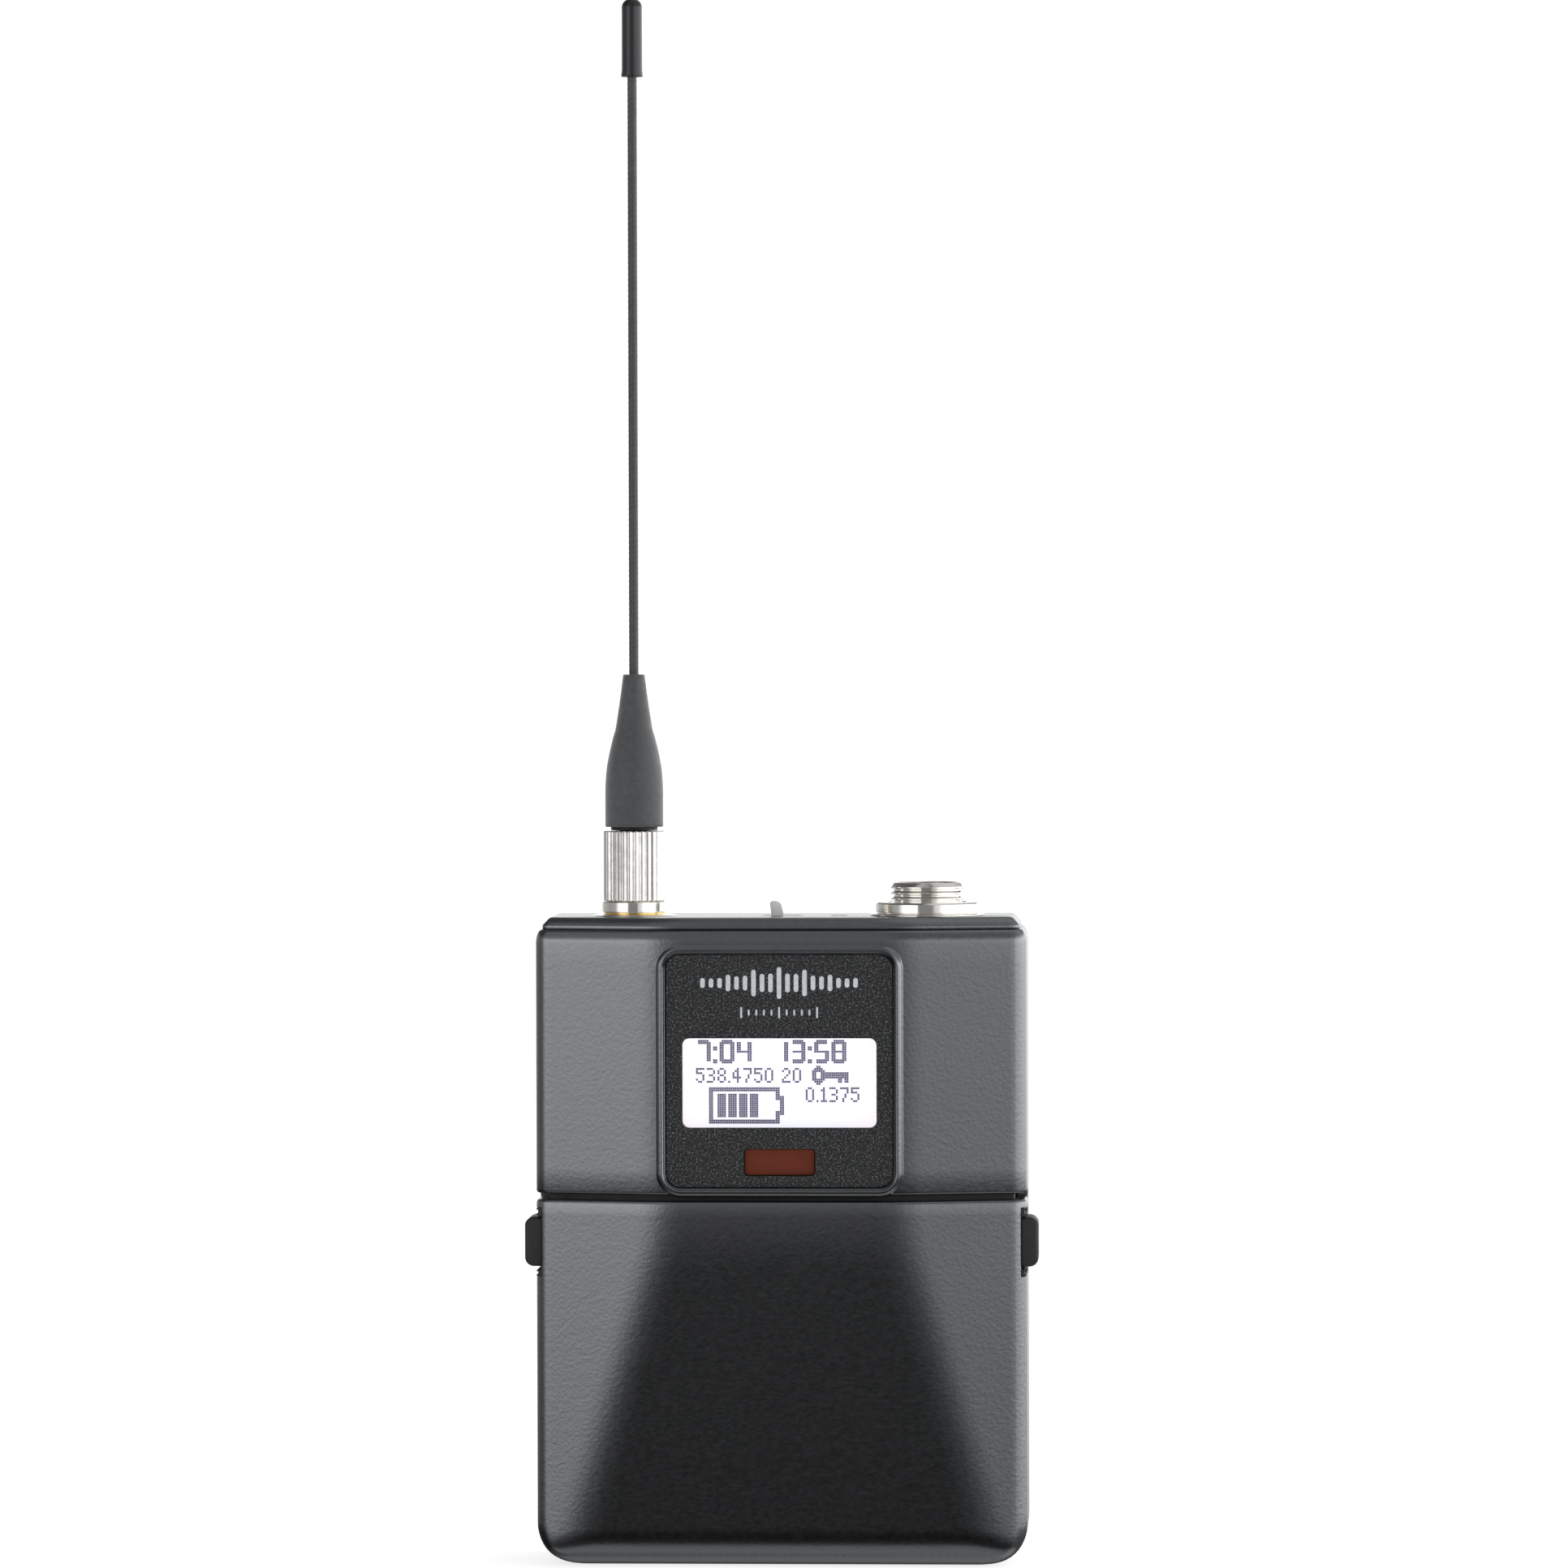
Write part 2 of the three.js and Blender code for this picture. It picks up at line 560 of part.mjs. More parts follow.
function keyFrame() {
  const plate = toSolid(block([-SPRING_SEAT_X, SPRING_SEAT_X], KEY_FRAME_Y, KEY_FRAME_Z));
  const halfX = KEY_WIDTH / 2 + 0.25;
  const halfZ = KEY_HEIGHT / 2 + 0.25;
  const windowY = [KEY_FRAME_Y[0] - 1, KEY_FRAME_Y[1] + 1];
  const windows = keyPlaces().map((x) =>
    toSolid(block([x - halfX, x + halfX], windowY, [KEY_Z - halfZ, KEY_Z + halfZ])));
  const seats = [-1, 1].map((sign) => {
    const span = [sign * SPRING_SEAT_X, sign * (SPRING_SEAT_X - 1)].sort((a, b) => a - b);
    return toSolid(block(span, [-5.6, 0.2], [LATCH_Z - 2.6, LATCH_Z + 2.6]));
  });
  return toGeometry(cut(join(plate, ...seats), ...windows));
}

function menuKey(x) {
  const flangeY = [KEY_FRAME_Y[1] + 0.3, KEY_FRAME_Y[1] + 1.1];
  const cap = prismAlongY(roundedRectangle(KEY_WIDTH, KEY_HEIGHT, 0.8, 3), KEY_FRONT, flangeY[0] + 0.1);
  const halfX = KEY_WIDTH / 2 + 0.6;
  const halfZ = KEY_HEIGHT / 2 + 0.6;
  const flange = block([-halfX, halfX], flangeY, [-halfZ, halfZ]);
  return toGeometry(join(toSolid(cap), toSolid(flange))).translate(x, 0, KEY_Z);
}

part('key_frame', keyFrame(), BLACK_PLASTIC);
keyPlaces().forEach((x, index) => part(`menu_key_${index + 1}`, menuKey(x), LIGHT_GREY));

// ---------- Side latches ----------

// The tab that a finger presses, with a plate and a spring post behind it, made for the right side
function latch() {
  const halfZ = LATCH_HEIGHT / 2;
  const shape = roundedShape([
    [LATCH_INNER_X, -halfZ],
    [LATCH_OUTER_X - 0.7, -halfZ],
    [LATCH_OUTER_X, -halfZ + 0.7],
    [LATCH_OUTER_X, halfZ - 0.7],
    [LATCH_OUTER_X - 0.7, halfZ],
    [LATCH_INNER_X, halfZ],
  ]);
  const tab = prismAlongY(shape, LATCH_Y - LATCH_WIDTH / 2, LATCH_Y + LATCH_WIDTH / 2);
  const plateZ = [-halfZ - 0.8, halfZ + 0.8];
  const plate = block([LATCH_INNER_X - 1.1, LATCH_INNER_X + 0.1], [LATCH_Y - 2.2, LATCH_Y + 3], plateZ);
  const post = rodAlongX(0.9, [LATCH_Y, 0], [LATCH_INNER_X - 3, LATCH_INNER_X - 1], 10);
  return toGeometry(join(toSolid(tab), toSolid(plate), toSolid(post))).translate(0, 0, LATCH_Z);
}

// Half a turn about the vertical through the latch's own middle swaps its sides
function onLeft(geometry) {
  return geometry.rotateZ(Math.PI).translate(0, 2 * LATCH_Y, 0);
}

class SpringPath extends THREE.Curve {
  constructor(length, turns, startR, endR) {
    super();
    Object.assign(this, { length, turns, startR, endR });
  }

  getPoint(t, target = new THREE.Vector3()) {
    const angle = 2 * Math.PI * this.turns * t;
    const radius = THREE.MathUtils.lerp(this.startR, this.endR, t);
    return target.set(this.length * t, radius * Math.cos(angle), radius * Math.sin(angle));
  }
}

// A coil spring along +X from the origin
function spring(length, turns, startR, endR, wireR) {
  const wire = new THREE.Shape().absarc(0, 0, wireR, 0, 2 * Math.PI);
  return new THREE.ExtrudeGeometry(wire, {
    extrudePath: new SpringPath(length, turns, startR, endR),
    steps: turns * 8,
    curveSegments: 3,
  });
}

function latchSpring() {
  const wireR = 0.2;
  const start = SPRING_SEAT_X + wireR + 0.05;
  const end = LATCH_INNER_X - 1.1 - wireR - 0.05;
  return spring(end - start, 5, 1.5, 1.5, wireR).translate(start, LATCH_Y, LATCH_Z);
}

part('latch_right', latch(), BLACK_PLASTIC);
part('latch_left', onLeft(latch()), BLACK_PLASTIC);
part('latch_spring_right', latchSpring(), STEEL);
part('latch_spring_left', onLeft(latchSpring()), STEEL);

// ---------- Batteries and their tray ----------

// An AA cell along +X, its positive button at +X
function cell() {
  const half = CELL_LENGTH / 2;
  const shoulder = half - 1.3;
  const profile = [
    [0, -half],
    [CELL_R - 0.5, -half],
    [CELL_R, -half + 0.5],
    [CELL_R, shoulder - 0.5],
    [CELL_R - 0.5, shoulder],
    [2.7, shoulder],
    [2.7, half],
    [0, half],
  ];
  return turned(profile, [0, 0]).rotateY(Math.PI / 2);
}

function batteryTray() {
  const [frontY, backY] = TRAY_Y;
  const outerX = TRAY_INNER_X + TRAY_END;
  const tray = toSolid(block([-outerX, outerX], TRAY_Y, TRAY_Z));
  const roomZ = [TRAY_Z[0] + TRAY_WALL, TRAY_Z[1] - TRAY_WALL];
  const room = toSolid(block([-TRAY_INNER_X, TRAY_INNER_X], [frontY - 1, backY - TRAY_WALL], roomZ));
  const middle = (LOWER_CELL_Z + UPPER_CELL_Z) / 2;
  const ribZ = [middle - TRAY_WALL / 2, middle + TRAY_WALL / 2];
  const rib = toSolid(block([-20, 20], [4, backY - TRAY_WALL / 2], ribZ));
  return toGeometry(join(cut(tray, room), rib));
}

const CONTACT_X = TRAY_INNER_X - 0.1;
const CELL_SHIFT = CONTACT_X - 0.45 - CELL_LENGTH / 2;

function contactSpring() {
  const start = -CONTACT_X + 0.35;
  const end = CELL_SHIFT - CELL_LENGTH / 2 - 0.4;
  return spring(end - start, 4, 3.6, 2.2, 0.3).translate(start, 0, 0);
}

function flatContact() {
  return block([CONTACT_X - 0.35, CONTACT_X], [-4, 4], [-4, 4]);
}

part('battery_tray', batteryTray(), BLACK_PLASTIC);
for (const [name, z, turn] of [['upper', UPPER_CELL_Z, 0], ['lower', LOWER_CELL_Z, Math.PI]]) {
  const place = (geometry) => geometry.rotateZ(turn).translate(0, CELL_Y, z);
  part(`battery_${name}`, place(cell().translate(CELL_SHIFT, 0, 0)), CELL_WRAP);
  part(`battery_spring_${name}`, place(contactSpring()), NICKEL);
  part(`battery_contact_${name}`, place(flatContact()), NICKEL);
}

// ---------- Top: power switch and light ----------

function switchBody() {
  const body = toSolid(block([-4.6, 4.6], [-2.6, 2.6], [SWITCH_BODY_BOTTOM, CAP_BOTTOM - 0.1]));
  const channel = toSolid(block([-3.6, 3.6], [-1, 1], [SWITCH_CHANNEL_Z, CAP_BOTTOM + 1]));
  return toGeometry(cut(body, channel));
}

function switchKnob() {
  const footZ = [SWITCH_CHANNEL_Z + 0.3, KNOB_FOOT_TOP];
  const foot = block([SWITCH_X - 1.3, SWITCH_X + 1.3], [-0.75, 0.75], footZ);
  const lever = prismAlongY(
    roundedShape([
      [SWITCH_X - 0.75, KNOB_FOOT_TOP - 0.2],
      [SWITCH_X + 0.75, KNOB_FOOT_TOP - 0.2],
      [SWITCH_X + 0.85, CASE_HEIGHT + 1.55, 0.3],
      [SWITCH_X - 0.95, CASE_HEIGHT + 1.95, 0.3],
    ]),
    -0.65,
    0.65,
  );
  return toGeometry(join(toSolid(foot), toSolid(lever)));
}

function lightPipe() {
  const pipe = toSolid(rodAlongZ(0.95, [LED_X, 0], [LED_BOTTOM, CASE_HEIGHT], 16));
  const flange = toSolid(rodAlongZ(1.7, [LED_X, 0], [CAP_BOTTOM - 1.1, CAP_BOTTOM - 0.1], 16));
  return toGeometry(join(pipe, flange));
}

part('power_switch_body', switchBody(), STEEL);
part('power_switch_knob', switchKnob(), LIGHT_GREY);
part('power_led_lens', lightPipe(), SCREEN_WHITE);

// ---------- Input socket: a threaded shell with four pins in an insulator ----------

const INPUT_BORE_R = 4.1;
const INPUT_BODY_R = 4.7;
const INPUT_BOTTOM = 78.6;
const INPUT_FLANGE_R = 5.9;
const INPUT_FLANGE_BOTTOM = 82.9;
const INPUT_PIN_CIRCLE = 2.1;
const INPUT_PIN_Z = [77.6, 89];

function inputShell() {
  const crests = 4;
  const rootR = INPUT_BARREL_R - 0.4;
  const threadStart = INPUT_TOP - 0.3 - crests * THREAD_PITCH;
  const thread = Array.from({ length: crests }, (_, turn) => {
    const z = threadStart + turn * THREAD_PITCH;
    return [[rootR, z + 0.1], [INPUT_BARREL_R, z + THREAD_PITCH * 0.55]];
  }).flat();
  const profile = [
    [INPUT_BORE_R, INPUT_BOTTOM],
    [INPUT_BODY_R, INPUT_BOTTOM],
    [INPUT_BODY_R, INPUT_FLANGE_BOTTOM],
    [INPUT_FLANGE_R, INPUT_FLANGE_BOTTOM],
    [INPUT_FLANGE_R, CAP_BOTTOM - 0.1],
    [INPUT_BARREL_R, CAP_BOTTOM - 0.1],
    [INPUT_BARREL_R, threadStart - 0.2],
    ...thread,
    [rootR, INPUT_TOP],
    [INPUT_BORE_R, INPUT_TOP],
    [INPUT_BORE_R, INPUT_BOTTOM],
  ];
  return turned(profile, [INPUT_X, 0], 32);
}

function inputPinPlaces() {
  return [45, 135, 225, 315].map((degrees) => {
    const angle = THREE.MathUtils.degToRad(degrees);
    return [INPUT_X + INPUT_PIN_CIRCLE * Math.cos(angle), INPUT_PIN_CIRCLE * Math.sin(angle)];
  });
}

function inputInsert() {
  const spanZ = [INPUT_BOTTOM + 0.4, CASE_HEIGHT - 0.4];
  const body = toSolid(rodAlongZ(INPUT_BORE_R - 0.15, [INPUT_X, 0], spanZ));
  const holes = inputPinPlaces().map((place) => toSolid(rodAlongZ(0.7, place, INPUT_PIN_Z, 10)));
  return toGeometry(cut(body, ...holes));
}

part('input_jack_shell', inputShell(), NICKEL);
part('input_jack_insert', inputInsert(), BLACK_PLASTIC);
part('input_jack_washer', ring(5.3, 7.6, 86.02, 86.28, [INPUT_X, 0], 0.08), NICKEL);
part('input_jack_nut', ring(5.3, 7, 86.3, 87.8, [INPUT_X, 0], 0.25), NICKEL);
inputPinPlaces().forEach((place, index) => {
  part(`input_pin_${index + 1}`, rodAlongZ(0.45, place, INPUT_PIN_Z, 10), GOLD);
});

// ---------- Antenna socket ----------

const ANTENNA_AXIS = [ANTENNA_X, 0];
const JACK_BODY_R = 2.6;
const JACK_BOTTOM = 79.5;
const JACK_FLANGE_R = 4.2;
const JACK_FLANGE_BOTTOM = 82.8;
const JACK_BORE_R = 1.3;
const JACK_BORE_BOTTOM = 88;
const JACK_NUT_BOTTOM = CASE_HEIGHT + 0.42;

function antennaJack() {
  const profile = [
    [0, JACK_BOTTOM],
    [JACK_BODY_R, JACK_BOTTOM],
    [JACK_BODY_R, JACK_FLANGE_BOTTOM],
    [JACK_FLANGE_R, JACK_FLANGE_BOTTOM],
    [JACK_FLANGE_R, CAP_BOTTOM - 0.1],
    [ANTENNA_BARREL_R, CAP_BOTTOM - 0.1],
    [ANTENNA_BARREL_R, ANTENNA_BARREL_TOP],
    [JACK_BORE_R, ANTENNA_BARREL_TOP],
    [JACK_BORE_R, JACK_BORE_BOTTOM],
    [0, JACK_BORE_BOTTOM],
  ];
  return turned(profile, ANTENNA_AXIS);
}

part('antenna_jack', antennaJack(), GOLD);
const JACK_WASHER_Z = [CASE_HEIGHT + 0.02, JACK_NUT_BOTTOM - 0.02];
part('antenna_jack_washer', ring(3.4, 5.5, ...JACK_WASHER_Z, ANTENNA_AXIS, 0.1), NICKEL);
part('antenna_jack_nut', ring(3.4, 4.37, JACK_NUT_BOTTOM, NUT_BOTTOM - 0.05, ANTENNA_AXIS, 0.12), NICKEL);

// ---------- Whip antenna ----------

const NUT_CEILING = 95.6;

// A round nut with shallow flutes all round, open below for the socket's barrel
function knurledNut() {
  const depth = 0.3;
  const count = NUT_FLUTES * 3;
  const outline = Array.from({ length: count }, (_, index) => {
    const angle = (2 * Math.PI * index) / count;
    const radius = NUT_R - (index % 3 === 0 ? depth : 0);
    return new THREE.Vector2(radius * Math.cos(angle), radius * Math.sin(angle));
  });
  const body = prismAlongZ(new THREE.Shape(outline), NUT_BOTTOM, NUT_TOP).translate(ANTENNA_X, 0, 0);
  const room = rodAlongZ(ANTENNA_BARREL_R + 0.35, ANTENNA_AXIS, [NUT_BOTTOM - 1, NUT_CEILING]);
  const neck = rodAlongZ(2.2, ANTENNA_AXIS, [NUT_CEILING - 0.6, NUT_TOP + 1]);
  return toGeometry(cut(toSolid(body), toSolid(room), toSolid(neck)));
}

// The plug's body: a flange held inside the nut, a neck through it and a collar under the boot
function ferrule() {
  const flangeR = 3.15;
  const flangeBottom = ANTENNA_BARREL_TOP + 0.25;
  const flangeTop = NUT_CEILING - 0.3;
  const neckR = 1.9;
  const collarR = 3.1;
  const profile = [
    [0, flangeBottom],
    [flangeR, flangeBottom],
    [flangeR, flangeTop],
    [neckR, flangeTop],
    [neckR, NUT_TOP + 0.1],
    [collarR, NUT_TOP + 0.1],
    [collarR, BOOT_BOTTOM - 0.05],
    [0, BOOT_BOTTOM - 0.05],
  ];
  return turned(profile, ANTENNA_AXIS);
}

function boot() {
  const bore = WHIP_R + 0.2;
  const profile = [
    [bore, BOOT_BOTTOM],
    [3.75, BOOT_BOTTOM],
    [3.85, BOOT_BOTTOM + 0.3],
    [3.85, 102.9],
    [3.7, 105],
    [3.3, 107.6],
    [2.75, 109.8],
    [2.5, 110.7],
    [1.45, BOOT_TOP],
    [bore, BOOT_TOP],
    [bore, BOOT_BOTTOM],
  ];
  return turned(profile, ANTENNA_AXIS);
}

function tip() {
  const bore = WHIP_R + 0.2;
  const profile = [
    [bore, TIP_BOTTOM],
    [TIP_R, TIP_BOTTOM],
    [TIP_R, TIP_TOP - 0.9],
    [TIP_R * 0.75, TIP_TOP - 0.25],
    [TIP_R * 0.4, TIP_TOP],
    [0, TIP_TOP],
    [0, TIP_TOP - 2.5],
    [bore, TIP_TOP - 2.5],
    [bore, TIP_BOTTOM],
  ];
  return turned(profile, ANTENNA_AXIS, 16);
}

const CONTACT_Z = [JACK_BORE_BOTTOM + 1.5, ANTENNA_BARREL_TOP + 0.2];
part('antenna_nut', knurledNut(), NICKEL);
part('antenna_ferrule', ferrule(), BLACK_PLASTIC);
part('antenna_contact_pin', rodAlongZ(0.5, ANTENNA_AXIS, CONTACT_Z, 12), GOLD);
part('antenna_boot', boot(), RUBBER);
part('antenna_whip', rodAlongZ(WHIP_R, ANTENNA_AXIS, [BOOT_BOTTOM + 0.3, TIP_TOP - 2.7], 12), RUBBER);
part('antenna_tip', tip(), BLACK_PLASTIC);

// ---------- Belt clip ----------

function clipBracket() {
  const backY = BACK_Y + 0.02;
  const frontY = backY + BRACKET_THICKNESS;
  const plate = toSolid(block([-BRACKET_HALF, BRACKET_HALF], [backY, frontY], BRACKET_Z));
  const [earBottom, earTop] = BRACKET_EAR_Z;
  const ears = [-1, 1].map((sign) => {
    const outer = sign * BRACKET_HALF;
    const span = [outer, outer - sign * BRACKET_THICKNESS].sort((a, b) => a - b);
    const ear = roundedShape([
      [backY, earBottom],
      [BRACKET_EAR_Y, earBottom, 2],
      [BRACKET_EAR_Y, earTop, 2],
      [backY, earTop],
    ]);
    return toSolid(prismAlongX(ear, ...span));
  });
  const bores = toSolid(rodAlongX(CLIP_WIRE_R + 0.2, [CLIP_PIVOT_Y, CLIP_PIVOT_Z], [-20, 20], 16));
  const screwHoles = clipScrewPlaces().map((place) => toSolid(rodAlongY(1.2, place, [10, 14], 12)));
  return toGeometry(cut(join(plate, ...ears), bores, ...screwHoles));
}

// One length of spring wire: from a bracket ear down one arm, across the foot and up the other
function clipWire() {
  const right = [
    [BRACKET_HALF - 3, CLIP_PIVOT_Y, CLIP_PIVOT_Z],
    [CLIP_ARM_X - 2, CLIP_PIVOT_Y, CLIP_PIVOT_Z],
    [CLIP_ARM_X, CLIP_PIVOT_Y, CLIP_PIVOT_Z],
    [CLIP_ARM_X, CLIP_PIVOT_Y + 0.8, CLIP_PIVOT_Z - 2],
    [CLIP_ARM_X, 17.8, 62],
    [CLIP_ARM_X, 17.6, 52],
    [CLIP_ARM_X, 17.3, 36],
    [CLIP_ARM_X, 17, CLIP_FOOT_Z + 2],
    [CLIP_ARM_X - 7, CLIP_FOOT_Y, CLIP_FOOT_Z],
  ].map((point) => new THREE.Vector3(...point));
  const left = right.map((point) => new THREE.Vector3(-point.x, point.y, point.z)).reverse();
  const path = new THREE.CurvePath();
  path.add(new THREE.LineCurve3(right[0], right[1]));
  path.add(new THREE.QuadraticBezierCurve3(right[1], right[2], right[3]));
  path.add(new THREE.QuadraticBezierCurve3(right[3], right[4], right[5]));
  path.add(new THREE.LineCurve3(right[5], right[6]));
  path.add(new THREE.QuadraticBezierCurve3(right[6], right[7], right[8]));
  path.add(new THREE.LineCurve3(right[8], left[0]));
  path.add(new THREE.QuadraticBezierCurve3(left[0], left[1], left[2]));
  path.add(new THREE.LineCurve3(left[2], left[3]));
  path.add(new THREE.QuadraticBezierCurve3(left[3], left[4], left[5]));
  path.add(new THREE.QuadraticBezierCurve3(left[5], left[6], left[7]));
  path.add(new THREE.LineCurve3(left[7], left[8]));
  const section = new THREE.Shape().absarc(0, 0, CLIP_WIRE_R, 0, 2 * Math.PI);
  return new THREE.ExtrudeGeometry(section, { extrudePath: path, steps: 64, curveSegments: 4 });
}

part('clip_bracket', clipBracket(), STEEL);
part('belt_clip', clipWire(), BLACK_PLASTIC);
clipScrewPlaces().forEach((place, index) => {
  const headY = BACK_Y + BRACKET_THICKNESS + 0.07;
  part(`clip_screw_${index + 1}`, screwAlongY(place, headY, 2.1, 1.2, 0.9, 3.4), STEEL);
});

export default model;
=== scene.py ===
# The looks of a belt-worn wireless guitar transmitter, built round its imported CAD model.
# Metres, +Z up, the display faces -Y, the origin is on the flat bottom face at mid-width.

import math

import bmesh
import bpy
from mathutils import Matrix, Vector


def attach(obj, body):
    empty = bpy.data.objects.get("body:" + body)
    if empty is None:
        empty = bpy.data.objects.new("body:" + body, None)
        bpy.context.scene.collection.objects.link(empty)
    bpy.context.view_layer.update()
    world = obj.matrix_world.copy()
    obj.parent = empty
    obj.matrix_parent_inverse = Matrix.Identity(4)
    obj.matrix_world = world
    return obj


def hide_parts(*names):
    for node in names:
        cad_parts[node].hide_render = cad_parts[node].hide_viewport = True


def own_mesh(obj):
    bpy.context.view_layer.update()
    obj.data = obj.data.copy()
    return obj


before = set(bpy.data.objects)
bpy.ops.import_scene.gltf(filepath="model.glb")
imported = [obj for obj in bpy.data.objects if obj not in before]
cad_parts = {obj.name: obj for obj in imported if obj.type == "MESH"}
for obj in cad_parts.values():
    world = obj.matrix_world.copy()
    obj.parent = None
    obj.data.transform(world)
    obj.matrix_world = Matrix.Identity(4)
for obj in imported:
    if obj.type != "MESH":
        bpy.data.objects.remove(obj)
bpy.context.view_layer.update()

MM = 0.001

# ---------- Driving dimensions ----------

# Case, the same outer form as the CAD shells
HALF_WIDTH = 32.5 * MM
CASE_TOP = 86 * MM
FACE_Y = -11.2 * MM
BACK_Y = 11.5 * MM
WALL = 1.5 * MM
CREASE_X = 15.4 * MM
FACET_SLOPE = math.tan(math.radians(12.8))
CREASE_BLEND = 0.75 * MM
DOOR_SLOPE = 0.066
DOOR_CURVE = 9 * MM
SIDE_ROUND = 1.6 * MM
BACK_ROUND = 2.5 * MM
FOOT_CORNER_ROUND = 5.7 * MM
FOOT_FRONT_ROUND = 4.6 * MM
FOOT_BACK_ROUND = 3 * MM

# Seams
SEAM_Y = 0.9 * MM
SEAM_GAP = 0.3 * MM
DOOR_TOP = 48.7 * MM
UPPER_BOTTOM = 49.5 * MM
HOUSING_TOP = 84.4 * MM
CAP_BOTTOM = 84.42 * MM
FOOT_STRIP_Y = -2.4 * MM
SIDE_STEP_Z = 5.5 * MM
PARTING_LIP = 0.45 * MM
TOP_LIP_HEIGHT = 1.8 * MM
TOP_LIP_DEPTH = 0.85 * MM
CAP_CHAMFER = 0.95 * MM
CAP_HALF_WIDTH = 31.6 * MM
FACE_INSET = 0.75 * MM

# Door hinge
HINGE_Y = -5.2 * MM
HINGE_Z = 2.6 * MM
HINGE_BARREL_R = 1.9 * MM
HINGE_BARREL_HALF = 28 * MM
EAR_R = 1.5 * MM
EAR_END_X = 29.3 * MM
HINGE_BORE_R = 0.95 * MM
EAR_TOP_Z = 4.5 * MM
DOOR_HEEL = 0.8 * MM

# Display
RIM_Y = -11.5 * MM
RIM_WIDTH = 32.3 * MM
PANEL_WIDTH = 29.9 * MM
PANEL_HEIGHT = 30.7 * MM
PANEL_ROUND = 1.9 * MM
PANEL_Z = 65.9 * MM
PANEL_FRONT = -11.05 * MM
PANEL_BACK = -10.15 * MM
SCREEN_WIDTH = 25.6 * MM
SCREEN_HEIGHT = 11.8 * MM
SCREEN_Z = 64.3 * MM
SCREEN_FRONT = -9.25 * MM
DOT_PITCH = 0.284 * MM
INFRARED_WIDTH = 9.45 * MM
INFRARED_HEIGHT = 3.65 * MM
INFRARED_Z = 53.85 * MM
SYMBOL_Z = 77.5 * MM

# Latches
LATCH_Y = -3.6 * MM
LATCH_Z = 43.05 * MM
LATCH_DEPTH = 6.6 * MM
LATCH_HEIGHT = 6.55 * MM
LATCH_OUTER_X = 34 * MM
LATCH_INNER_X = 30.4 * MM
LATCH_SLOT_HEIGHT = 9 * MM
LATCH_SLOT_DEPTH = 8.15 * MM
SPRING_START_X = 24.45 * MM
SPRING_END_X = 29.05 * MM

# Top
ANTENNA_X = -19.75 * MM
INPUT_X = 19.25 * MM
SWITCH_X = -0.8 * MM
LED_X = 7.5 * MM
ANTENNA_HOLE_R = 3.4 * MM
INPUT_HOLE_R = 5.25 * MM
LED_HOLE_R = 1.2 * MM
INPUT_TOP = 90.4 * MM
THREAD_PITCH = 0.75 * MM
PIN_CIRCLE_R = 2.1 * MM
ANTENNA_PITCH = 0.635 * MM
NUT_BOTTOM = 87.98 * MM
NUT_TOP = 97.3 * MM
NUT_R = 4.1 * MM
NUT_FLUTES = 28
BOOT_BOTTOM = 97.85 * MM
BOOT_TOP = 118.1 * MM
WHIP_R = 0.62 * MM
WHIP_BORE_R = 0.82 * MM
TIP_R = 1.37 * MM
TIP_BOTTOM = 197.5 * MM
TIP_TOP = 207.9 * MM

# Back
SCREW_PLACES = [(sign * 28.3 * MM, z * MM) for z in (54.5, 79) for sign in (-1, 1)]
SCREW_SEAT = 10.2 * MM
CLIP_PIVOT_Y = 14 * MM
CLIP_PIVOT_Z = 72 * MM
CLIP_WIRE_R = 1 * MM
CLIP_ARM_X = 16.4 * MM
BRACKET_HALF = 12.8 * MM

# Batteries
CELL_R = 7.1 * MM
CELL_LENGTH = 50.5 * MM
CELL_Y = 1.7 * MM
LOWER_CELL_Z = 13 * MM
UPPER_CELL_Z = 28.2 * MM
TRAY_INNER_X = 28.4 * MM

# Keys
KEY_Z = 42.6 * MM
KEY_SPACING = 10.4 * MM

# ---------- Materials ----------


class Tree:
    """A short way to write a node tree."""

    def __init__(self, tree):
        self.tree = tree

    def add(self, kind, inputs=None, **settings):
        node = self.tree.nodes.new(kind)
        for key, value in settings.items():
            setattr(node, key, value)
        for key, value in (inputs or {}).items():
            self.set(node.inputs[key], value)
        return node

    def set(self, socket, value):
        if isinstance(value, bpy.types.NodeSocket):
            self.tree.links.new(value, socket)
        else:
            socket.default_value = value


